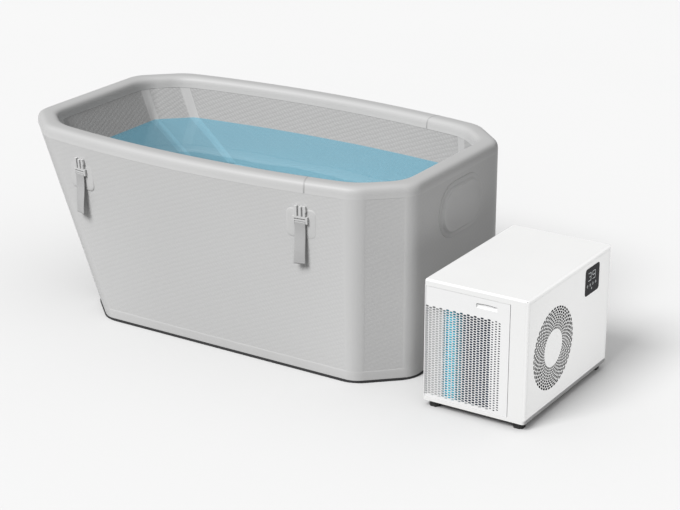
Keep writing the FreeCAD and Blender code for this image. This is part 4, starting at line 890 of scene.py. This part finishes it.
def straps():
    """Webbing section carried along its path at each seat, with closed ends."""
    path = web_path()
    step = np.gradient(path, axis=0)
    step /= np.linalg.norm(step, axis=1)[:, None]
    normal = np.stack([-step[:, 1], step[:, 0]], axis=1)
    section = web_section()
    length = np.concatenate([[0], np.cumsum(np.linalg.norm(np.diff(path, axis=0), axis=1))])
    rows, count = len(path), len(section)
    first = end_cap(count)
    last = first[:, ::-1] + (rows - 1) * count
    across = np.broadcast_to(section[:, 0], (rows, count))
    straight = path[:, :1] + normal[:, :1] * section[:, 1]
    up = path[:, 1:] + normal[:, 1:] * section[:, 1]
    uv = np.stack([across.ravel(), np.repeat(length, count)], axis=1)
    parts = []
    for number, seat in enumerate(strap_seats()):
        twist = TAIL_TWIST * (-1) ** number * np.clip((length - TWIST_START) / TWIST_RUN, 0, 1) ** 1.5
        points = on_seat(seat, across, straight + twist[:, None] * across / (WEB_WIDTH / 2), up)
        flat = points.reshape(-1, 3)
        middle = points.mean(axis=1)
        faces = grid_faces(rows, count, wrap_columns=True)
        faces = away_from(flat, faces, np.repeat((middle[:-1] + middle[1:]) / 2, count, axis=0))
        parts.append((flat, np.concatenate([faces, first, last])))
    uv = np.tile(uv, (len(parts), 1))
    piece = make_piece("webbing_straps", parts, "webbing", uv=uv)
    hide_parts("straps")


def rounded_outline(width, height, radius, steps):
    """Points once round a rectangle with quarter circles at its corners."""
    quarter = math.pi / 2
    middle = np.array([width / 2 - radius, height / 2 - radius])
    sides = ((1, 1), (-1, 1), (-1, -1), (1, -1))
    turns = [np.linspace(0, quarter, steps) + number * quarter for number in range(4)]
    return np.concatenate([radius * compass(turn) + middle * side for turn, side in zip(turns, sides)])


def pad_rings(outline, insets, heights):
    """Rings of an outline drawn in by insets, each at its own height, closed over the middle."""
    reach = np.linalg.norm(outline, axis=1)[:, None]
    plan = np.concatenate([outline * (1 - inset / reach) for inset in insets] + [outline[:1] * 0])
    count = len(outline)
    height = np.append(np.repeat(heights, count), heights[-1])
    faces = grid_faces(len(insets), count, wrap_columns=True)
    last = np.arange(count) + (len(insets) - 1) * count
    return plan, height, np.concatenate([faces, closing_fan(last, len(plan) - 1)])


def strap_pads():
    """Rounded pads of the wall's fabric with a thin feathered edge, laid on the wall under each buckle."""
    outline = rounded_outline(PAD_WIDTH, PAD_HEIGHT, PAD_CORNER, PAD_CORNER_STEPS)
    plan, height, faces = pad_rings(outline, PAD_INSETS, PAD_HEIGHTS)
    parts = []
    for seat in strap_seats():
        points = on_seat(seat, plan[:, 0], height + PAD_CLEAR - BAR_DEPTH, plan[:, 1] - PAD_DROP)
        parts.append((points, facing(points, faces, seat[2])))
    piece = make_piece("buckle_pads", parts, "pad")
    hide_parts("strap_pads")


PATCH_ACROSS, PATCH_HEIGHT = 0.012, 0.525
PATCH_STRAIGHT, PATCH_RADIUS, PATCH_STEPS = 0.100, 0.098, 49
PATCH_INSETS = MM * np.array([0, 0.6, 1.6, 10, 16.5, 17.5, 19, 21.5, 23.5, 25, 27, 31, 38, 50, 70, 96])
PATCH_HEIGHTS = MM * np.array([-0.2, 1.2, 1.9, 2.2, 2.4, 2.9, 4.6, 7.4, 8.7, 9.0, 8.8, 8.1, 7.4, 6.9, 6.7,
                               6.6])


def end_patch():
    """Long round patch: thin flange, raised ridge, and a shallow crowned middle."""
    half_turn = np.linspace(-0.5, 0.5, PATCH_STEPS)
    away = compass(np.concatenate([half_turn, half_turn + 1]) * math.pi)
    outline = away * PATCH_RADIUS + np.repeat([[0.5, 0], [-0.5, 0]], PATCH_STEPS, axis=0) * PATCH_STRAIGHT
    plan = np.concatenate([outline - away * inset for inset in PATCH_INSETS])
    count = len(outline)
    height = np.repeat(PATCH_HEIGHTS, count)
    faces = grid_faces(len(PATCH_INSETS), count, wrap_columns=True)
    middle = end_cap(count) + (len(PATCH_INSETS) - 1) * count
    points = raised(plan, height)[:, [2, 0, 1]] + [HALF_LENGTH, PATCH_ACROSS, PATCH_HEIGHT]
    faces = facing(points, np.concatenate([faces, middle]), X)
    piece = make_piece("foot_end_patch", [(points, faces)], "patch")
    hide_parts("end_patch")


# Chiller panels

CASE_LEFT, CASE_FRONT = 0.922, -0.446
SQUARE = np.array([[1, 0], [1, 1], [0, 1], [-1, 1], [-1, 0], [-1, -1], [0, -1], [1, -1]], dtype=float)
SIDES = len(SQUARE)
OVAL = compass(full_turn(SIDES))
OVAL[1::2] *= [1.12, 1.18]  # fuller at its corners than an ellipse
BOX_POINTS = np.array([[0, 0, 0], [1, 0, 0], [1, 1, 0], [0, 1, 0],
                       [0, 0, 1], [1, 0, 1], [1, 1, 1], [0, 1, 1]])
BOX_FACES = np.array([[0, 3, 2, 1], [4, 5, 6, 7], [0, 1, 5, 4], [2, 3, 7, 6], [1, 2, 6, 5], [3, 0, 4, 7]])


def punched(outline, hole, front, back):
    """Sheet cells: a ring between each cell's outline and its hole on both faces, and the hole's wall.

    outline and hole hold cells by sides by two plan coordinates; the depth is added as a third.
    """
    cells = len(outline)
    rings = [(outline, front), (hole, front), (hole, back), (outline, back)]
    points = np.stack([raised(ring, depth) for ring, depth in rings], axis=1).reshape(-1, 3)
    starts = np.arange(cells)[:, None, None] * 4 * SIDES
    faces = (grid_faces(4, SIDES, wrap_columns=True) + starts).reshape(-1, 4)
    middle = np.repeat(raised(hole.mean(axis=1), (front + back) / 2), 3 * SIDES, axis=0)
    toward = middle - points[faces].mean(axis=1)
    kind = np.tile(np.repeat([0, 1, 2], SIDES), cells)
    toward[kind == 0] = (0, 0, np.sign(front - back))
    toward[kind == 2] = (0, 0, np.sign(back - front))
    return points, faces, toward


def slabs(corners):
    """Boxes between pairs of corners: points, quads and each quad's way out."""
    low, high = np.array(corners, dtype=float).transpose(1, 0, 2)[:, :, None]
    points = low + (high - low) * BOX_POINTS
    faces = (BOX_FACES + 8 * np.arange(len(points))[:, None, None]).reshape(-1, 4)
    flat = points.reshape(-1, 3)
    return flat, faces, flat[faces].mean(axis=1) - np.repeat(points.mean(axis=1), 6, axis=0)


DOOR_WIDTH, DOOR_THICK, DOOR_SHEET = 0.3047, 0.014, 0.0012
DOOR_LOW, DOOR_HIGH = 0.0368, 0.4173
DOOR_FACE = CASE_FRONT + 0.001
SCREEN = (0.006, 0.276, 0.044, 0.354)
HOLE_COLUMNS, HOLE_ROWS = 22, 37
HOLE_HALF, EDGE_COLUMNS, EDGE_NARROW = (0.0056, 0.0034), 3, 0.66
PULL = (0.186, 0.260, 0.3825, 0.3965)
PULL_DEPTH, PULL_ARCH, PULL_STEPS = 0.006, 0.0026, 25
ROUND_STEPS = 18


def door_screen():
    """Oblong holes in upright columns, every second column half a step down, narrower at the free edge."""
    left, right, low, high = SCREEN
    wide = (right - left) / HOLE_COLUMNS
    tall = (high - low) / HOLE_ROWS
    column, row = np.indices((HOLE_COLUMNS, HOLE_ROWS)).reshape(2, -1)
    odd = column % 2 == 1
    keep = ~(odd & (row == HOLE_ROWS - 1))
    column, row, odd = column[keep], row[keep], odd[keep]
    middle = np.stack([left + wide * (column + 0.5), low + tall * (row + 0.5 + 0.5 * odd)], axis=1)[:, None]
    narrow = np.where(column >= HOLE_COLUMNS - EDGE_COLUMNS, EDGE_NARROW, 1.0)[:, None, None]
    outline = middle + SQUARE * [wide / 2, tall / 2]
    holes = punched(outline, middle + OVAL * HOLE_HALF * narrow, 0.0, DOOR_SHEET)
    ends = []
    for edge in left + wide * np.arange(1, HOLE_COLUMNS, 2):
        for start in (low, high - tall / 2):
            ends.append(((edge, start, 0.0), (edge + wide, start + tall / 2, DOOR_SHEET)))
    return joined([holes, slabs(ends)])


def door_frame():
    """Slabs round the screen and round the pull, the rounded hinge edge, and the pull's arched pocket."""
    left, right, low, high = SCREEN
    round_edge = DOOR_THICK / 2
    pull_left, pull_right, pull_low, pull_high = PULL
    bars = slabs([
        ((round_edge, DOOR_LOW, 0), (left, DOOR_HIGH, DOOR_THICK)),
        ((left, DOOR_LOW, 0), (right, low, DOOR_THICK)),
        ((right, DOOR_LOW, 0), (DOOR_WIDTH, DOOR_HIGH, DOOR_THICK)),
        ((left, high, 0), (right, pull_low, DOOR_THICK)),
        ((left, pull_low, 0), (pull_left, DOOR_HIGH, DOOR_THICK)),
        ((pull_right, pull_low, 0), (right, DOOR_HIGH, DOOR_THICK)),
        ((pull_left, pull_low, PULL_DEPTH), (pull_right, DOOR_HIGH, DOOR_THICK)),
    ])
    along = np.linspace(pull_left, pull_right, PULL_STEPS)
    arch = pull_high + PULL_ARCH * (1 - np.linspace(-1, 1, PULL_STEPS) ** 2)
    top = np.full(PULL_STEPS, DOOR_HIGH)
    rows = [(top, PULL_DEPTH), (top, 0.0), (arch, 0.0), (arch, PULL_DEPTH)]
    points = np.concatenate([raised(np.stack([along, height], axis=1), depth) for height, depth in rows])
    ways = np.repeat(np.array([[0, 1, 0], [0, 0, -1], [0, -1, 0]], dtype=float), PULL_STEPS - 1, axis=0)
    pocket = (points, grid_faces(4, PULL_STEPS), ways)
    turn = np.linspace(-math.pi / 2, math.pi / 2, ROUND_STEPS)
    edge = round_edge * (1 + compass(turn) * [-1, 1])
    points = np.concatenate([raised(edge, height)[:, [0, 2, 1]] for height in (DOOR_LOW, DOOR_HIGH)])
    cap = end_cap(ROUND_STEPS)
    faces = np.concatenate([grid_faces(2, ROUND_STEPS), cap, cap + ROUND_STEPS])
    middle = np.array([round_edge, (DOOR_LOW + DOOR_HIGH) / 2, round_edge])
    return joined([bars, pocket, (points, faces, points[faces].mean(axis=1) - middle)])


def door():
    """Perforated door, set in the case: along, up and depth become X, Z and Y."""
    part = placed(joined([door_screen(), door_frame()]), [0, 2, 1], [CASE_LEFT, DOOR_FACE, 0])
    piece = make_piece("perforated_door", [part], "door", "intake_door", False)
    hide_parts("intake_door")


BAFFLE = np.array([[0.9262, -0.4268], [0.984, -0.4268], [0.9852, -0.4262], [0.9856, -0.425],
                   [0.9856, -0.412], [0.9848, -0.412], [0.9848, -0.4248], [0.984, -0.4258],
                   [0.9262, -0.4258]])
BAFFLE_LEVELS = (0.0368, 0.425)


def coil_baffle():
    """Sheet between the case and the coil, a white part painted grey as the shade it lies in: a flat run
    with its free edge turned back.
    """
    points = np.concatenate([raised(BAFFLE, level) for level in BAFFLE_LEVELS])
    step = np.roll(BAFFLE, -1, axis=0) - BAFFLE
    way = raised(np.stack([step[:, 1], -step[:, 0]], axis=1), 0.0)
    faces = facing(points, grid_faces(2, len(BAFFLE), wrap_columns=True), way)
    make_piece("coil_baffle", [(points, faces)], "baffle", smooth=False)


FAN_ACROSS, FAN_HEIGHT = -0.258, 0.219
VENT_INNER, VENT_OUTER = 0.062, 0.138
VENT_RINGS, VENT_HOLES = 9, 44
VENT_LONG, VENT_WIDE = 0.45, 0.40
PANEL = (-0.4315, 0.1355, 0.0365, 0.4255)
PANEL_FACE, PANEL_THICK, VENT_THICK = 1.288, 0.003, 0.0008


def vent_cells():
    """Rings of oval holes that grow longer outwards, every second ring half a step round."""
    ring, hole = np.indices((VENT_RINGS, VENT_HOLES)).reshape(2, -1)
    depth = (VENT_OUTER - VENT_INNER) / VENT_RINGS
    step = 2 * math.pi / VENT_HOLES
    radius = (VENT_INNER + depth * (ring + 0.5))[:, None]
    angle = (step * (hole + 0.5 * (ring % 2)))[:, None]
    edge = (radius + SQUARE[:, 0] * depth / 2)[..., None] * compass(angle + SQUARE[:, 1] * step / 2)
    out = compass(angle)
    side = out[..., ::-1] * [-1, 1]
    reach = radius + VENT_LONG * depth * OVAL[:, 0]
    sway = VENT_WIDE * step * radius * OVAL[:, 1]
    return punched(edge, reach[..., None] * out + sway[..., None] * side, 0.0, -VENT_THICK)


def panel_field():
    """Plain panel round the vent, out to its rectangle, and the plain disc within the vent."""
    count = 2 * VENT_HOLES
    way = compass(full_turn(count))
    left, right, bottom, top = PANEL
    low = np.array([left - FAN_ACROSS, bottom - FAN_HEIGHT])
    high = np.array([right - FAN_ACROSS, top - FAN_HEIGHT])
    limit = np.where(way > 0, high, low) / np.where(np.abs(way) < 1e-9, 1e-9, way)
    edge = way * np.min(np.abs(limit), axis=1)[:, None]
    for corner in (low, (low[0], high[1]), (high[0], low[1]), high):
        edge[np.argmin(np.linalg.norm(edge - corner, axis=1))] = corner
    rings = [(edge, -PANEL_THICK), (edge, 0.0), (way * VENT_OUTER, 0.0)]
    points = np.concatenate([raised(ring, depth) for ring, depth in rings])
    ways = np.concatenate([raised(way, 0.0), np.tile(Z, (count, 1))])
    plan, height, faces = pad_rings(way * VENT_INNER, np.array([0, VENT_INNER / 2]), np.zeros(2))
    disc = (raised(plan, height), faces, np.tile(Z, (len(faces), 1)))
    return joined([(points, grid_faces(3, count, wrap_columns=True), ways), disc])


def fan_panel():
    """Vented side panel: across, up and depth from the fan's middle become Y, Z and X."""
    offset = [PANEL_FACE, FAN_ACROSS, FAN_HEIGHT]
    part = placed(joined([vent_cells(), panel_field()]), [2, 0, 1], offset)
    piece = make_piece("vented_fan_panel", [part], "case", smooth=False)
    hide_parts("fan_panel")


MARKS_FACE = 1.289
DIGIT_WIDTH, DIGIT_HEIGHT, STROKE = 0.020, 0.026, 0.0021
DIGIT_SPOTS, DIGIT_LOW = (("3", -0.022), ("9", 0.009)), 0.366
SEGMENTS = {"3": "abcdg", "9": "abcdef"}
KEY_SPOTS, KEY_LEVEL = (-0.026, -0.006, 0.014, 0.034), 0.349
KEY_RADIUS, KEY_STROKE = 0.0038, 0.0013
LOW_MARK, LOW_ARC, LOW_DOT = np.array([0.006, 0.333]), (0.0042, 0.0012), (0.0018, 0.0016)
MARK_STEPS = 21


def stroke(start, end, width):
    """Flat bar with cut tips between two points of the display."""
    start, end = np.array(start), np.array(end)
    along = (end - start) / np.linalg.norm(end - start)
    side = np.array([-along[1], along[0]]) * width / 2
    tip = along * width / 2
    upper, lower = [start + tip + side, end - tip + side], [end - tip - side, start + tip - side]
    return np.array([start, *upper, end, *lower]), np.array([[0, 1, 2, 3], [0, 3, 4, 5]])


def ring_mark(middle, radius, width, start=0.0, end=2 * math.pi):
    """Flat ring or part of a ring."""
    way = compass(np.linspace(start, end, MARK_STEPS))
    plan = np.concatenate([middle + way * (radius - width / 2), middle + way * (radius + width / 2)])
    return plan, grid_faces(2, MARK_STEPS)


def digit(figure, left, low):
    """Figure of straight bars."""
    right, high, half = left + DIGIT_WIDTH, low + DIGIT_HEIGHT, low + DIGIT_HEIGHT / 2
    bars = {
        "a": ((left, high), (right, high)),
        "b": ((right, half), (right, high)),
        "c": ((right, low), (right, half)),
        "d": ((left, low), (right, low)),
        "e": ((left, half), (left, high)),
        "f": ((left, half), (right, half)),
        "g": ((left + DIGIT_WIDTH / 3, half), (right, half)),
    }
    return [stroke(*bars[name], STROKE) for name in SEGMENTS[figure]]


def display_marks():
    """Two figures, a row of four plain key marks and one below, just proud of the window."""
    marks = []
    for figure, left in DIGIT_SPOTS:
        marks += digit(figure, left, DIGIT_LOW)
    for number, across in enumerate(KEY_SPOTS):
        middle = np.array([across, KEY_LEVEL])
        marks.append(ring_mark(middle, KEY_RADIUS, KEY_STROKE))
        if number % 2:
            marks.append(stroke(middle - [0, 0.002], middle + [0, 0.005], KEY_STROKE))
        else:
            marks.append(stroke(middle - [0.002, 0], middle + [0.002, 0], KEY_STROKE))
    marks.append(ring_mark(LOW_MARK, *LOW_ARC, 0.25 * math.pi, 0.75 * math.pi))
    marks.append(ring_mark(LOW_MARK, *LOW_DOT))
    plan, faces = merged(marks)
    points = raised(plan, MARKS_FACE)[:, [2, 0, 1]]
    parts = [(points, facing(points, faces, X))]
    make_piece("display_figures", parts, "digits", smooth=False)


SCREW_RADIUS = MM * np.array([4.0, 4.0, 3.2, 1.4, 0.2])
SCREW_HEIGHT = MM * np.array([0.0, 0.9, 1.8, 2.1, 2.1])
SCREW_STEPS, SCREW_DIP = 16, 0.0009
SCREW_SPOTS, SCREW_LEVELS, REAR_FACE = (0.9465, 1.105, 1.2635), (0.047, 0.4155), 0.150


def screw_heads():
    """Domed heads with a cross recess round the rear panel: rings of a radius and a height."""
    crossed = np.arange(SCREW_STEPS) % 4 == 0
    dip = SCREW_DIP * crossed * np.array([0, 0, 0, 1, 1])[:, None]
    plan = SCREW_RADIUS[:, None, None] * compass(full_turn(SCREW_STEPS))
    head = raised(plan, SCREW_HEIGHT[:, None] - dip)[..., [0, 2, 1]].reshape(-1, 3)
    fan = closing_fan(np.arange(SCREW_STEPS) + len(head) - SCREW_STEPS, len(head))
    faces = np.concatenate([grid_faces(len(SCREW_RADIUS), SCREW_STEPS, wrap_columns=True), fan])
    head = np.concatenate([head, [[0, SCREW_HEIGHT[-1] - SCREW_DIP, 0]]])
    parts = []
    for along in SCREW_SPOTS:
        for level in SCREW_LEVELS:
            points = head + [along, REAR_FACE, level]
            parts.append((points, away_from(points, faces, [along, REAR_FACE - MM, level])))
    make_piece("rear_panel_screws", parts, "screw")


# Scene

FLOOR_REACH = 60.0
FLOOR_SEEN, FLOOR_THROWN = (0.52, 0.53), 0.13
SKY_LIGHT, SKY_SEEN = 0.31, 0.89
SUN_SPOT, SUN_ENERGY, SUN_ANGLE = (-1.63, -6.61, 7.32), 3.45, 28
FILL_SPOT, FILL_ENERGY, FILL_ANGLE = (0, 0, 5), 2.1, 140
SIDE_SPOT, SIDE_TARGET = (2.9, -0.15, 0.24), (1.288, -0.15, 0.24)
SIDE_ENERGY, SIDE_WIDTH, SIDE_HEIGHT = 16.5, 0.4, 0.3
SIDE_LIT = ("cabinet", "vented_fan_panel", "display", "display_figures")
CAMERA_SPOT, CAMERA_TARGET = (3.700, -5.291, 2.633), (0.3894, -0.1023, 0.3)
CAMERA_LENS, CAMERA_SENSOR = 101.18, 36.0


def place_looking(item, spot, target):
    """Put an object at a spot with its -Z axis towards a target and X level."""
    item.location = spot
    item.rotation_euler = (Vector(target) - Vector(spot)).to_track_quat("-Z", "Y").to_euler()


def add_lamp(name, kind, energy, spot, target):
    """Lamp that the camera can't see."""
    item = add_object(name, bpy.data.lights.new(name, kind))
    item.data.energy = energy
    item.visible_camera = False
    place_looking(item, spot, target)
    return item


def light_only(item, lit):
    """Let a lamp light these objects alone."""
    item.light_linking.receiver_collection = bpy.data.collections.new(item.name + "_reach")
    for thing in lit:
        item.light_linking.receiver_collection.objects.link(thing)


def floor_paint():
    """Pale paint where the floor is seen or mirrored, dimmer where it only throws light at the object."""
    material, tree = new_finish("studio_floor_paint")
    path = tree.nodes.new("ShaderNodeLightPath").outputs
    mirrored = calc(tree, "MAXIMUM", path["Is Glossy Ray"], path["Is Transmission Ray"])
    seen = calc(tree, "MAXIMUM", path["Is Camera Ray"], mirrored)
    cloud = noise(tree, object_place(tree), 0.6, 2.0)
    pale = blend_colour(tree, cloud, *map(grey, FLOOR_SEEN))
    dress(tree, Base_Color=blend_colour(tree, seen, grey(FLOOR_THROWN), pale), Roughness=0.9,
          Specular_IOR_Level=0.0)
    return material


def light_and_ground():
    """Pale floor with its own fill, a sun from the front left, an even sky, the chiller's side lamp."""
    floor_mesh = bpy.data.meshes.new("studio_floor")
    corners = FLOOR_REACH * np.array([[-1, -1, 0], [1, -1, 0], [1, 1, 0], [-1, 1, 0]])
    floor_mesh.from_pydata(corners.tolist(), [], [(0, 1, 2, 3)])
    floor_mesh.materials.append(floor_paint())
    floor = add_object("studio_floor", floor_mesh)

    sun = add_lamp("window_sun", "SUN", SUN_ENERGY, SUN_SPOT, (0, 0, 0))
    sun.data.angle = math.radians(SUN_ANGLE)
    floor_sun = add_lamp("floor_fill", "SUN", FILL_ENERGY, FILL_SPOT, (0, 0, 0))
    floor_sun.data.angle = math.radians(FILL_ANGLE)
    light_only(floor_sun, [floor])
    side = add_lamp("side_lamp", "AREA", SIDE_ENERGY, SIDE_SPOT, SIDE_TARGET)
    side.data.shape = "RECTANGLE"
    side.data.size, side.data.size_y = SIDE_WIDTH, SIDE_HEIGHT
    side.visible_glossy = False
    light_only(side, [bpy.data.objects[name] for name in SIDE_LIT])

    world = bpy.data.worlds.new("studio_sky")
    world.use_nodes = True
    bpy.context.scene.world = world
    tree = world.node_tree
    seen = tree.nodes.new("ShaderNodeLightPath").outputs["Is Camera Ray"]
    fill(tree, tree.nodes["Background"], Color=grey(1.0), Strength=spread(tree, seen, SKY_LIGHT, SKY_SEEN))


def photo_camera():
    """Camera fitted to the photograph."""
    camera = bpy.data.cameras.new("photo_camera")
    camera.sensor_width = CAMERA_SENSOR
    camera.lens = CAMERA_LENS
    item = add_object("photo_camera", camera)
    place_looking(item, CAMERA_SPOT, CAMERA_TARGET)
    bpy.context.scene.camera = item


photo_camera()
finish_solids()
wall_skin()
bore_tubes()
inflated_rim()
rim_seams()
corner_tapes()
base_tape()
water_surface()
straps()
strap_pads()
end_patch()
door()
coil_baffle()
fan_panel()
display_marks()
screw_heads()
light_and_ground()
bpy.context.scene.view_settings.view_transform = "Standard"
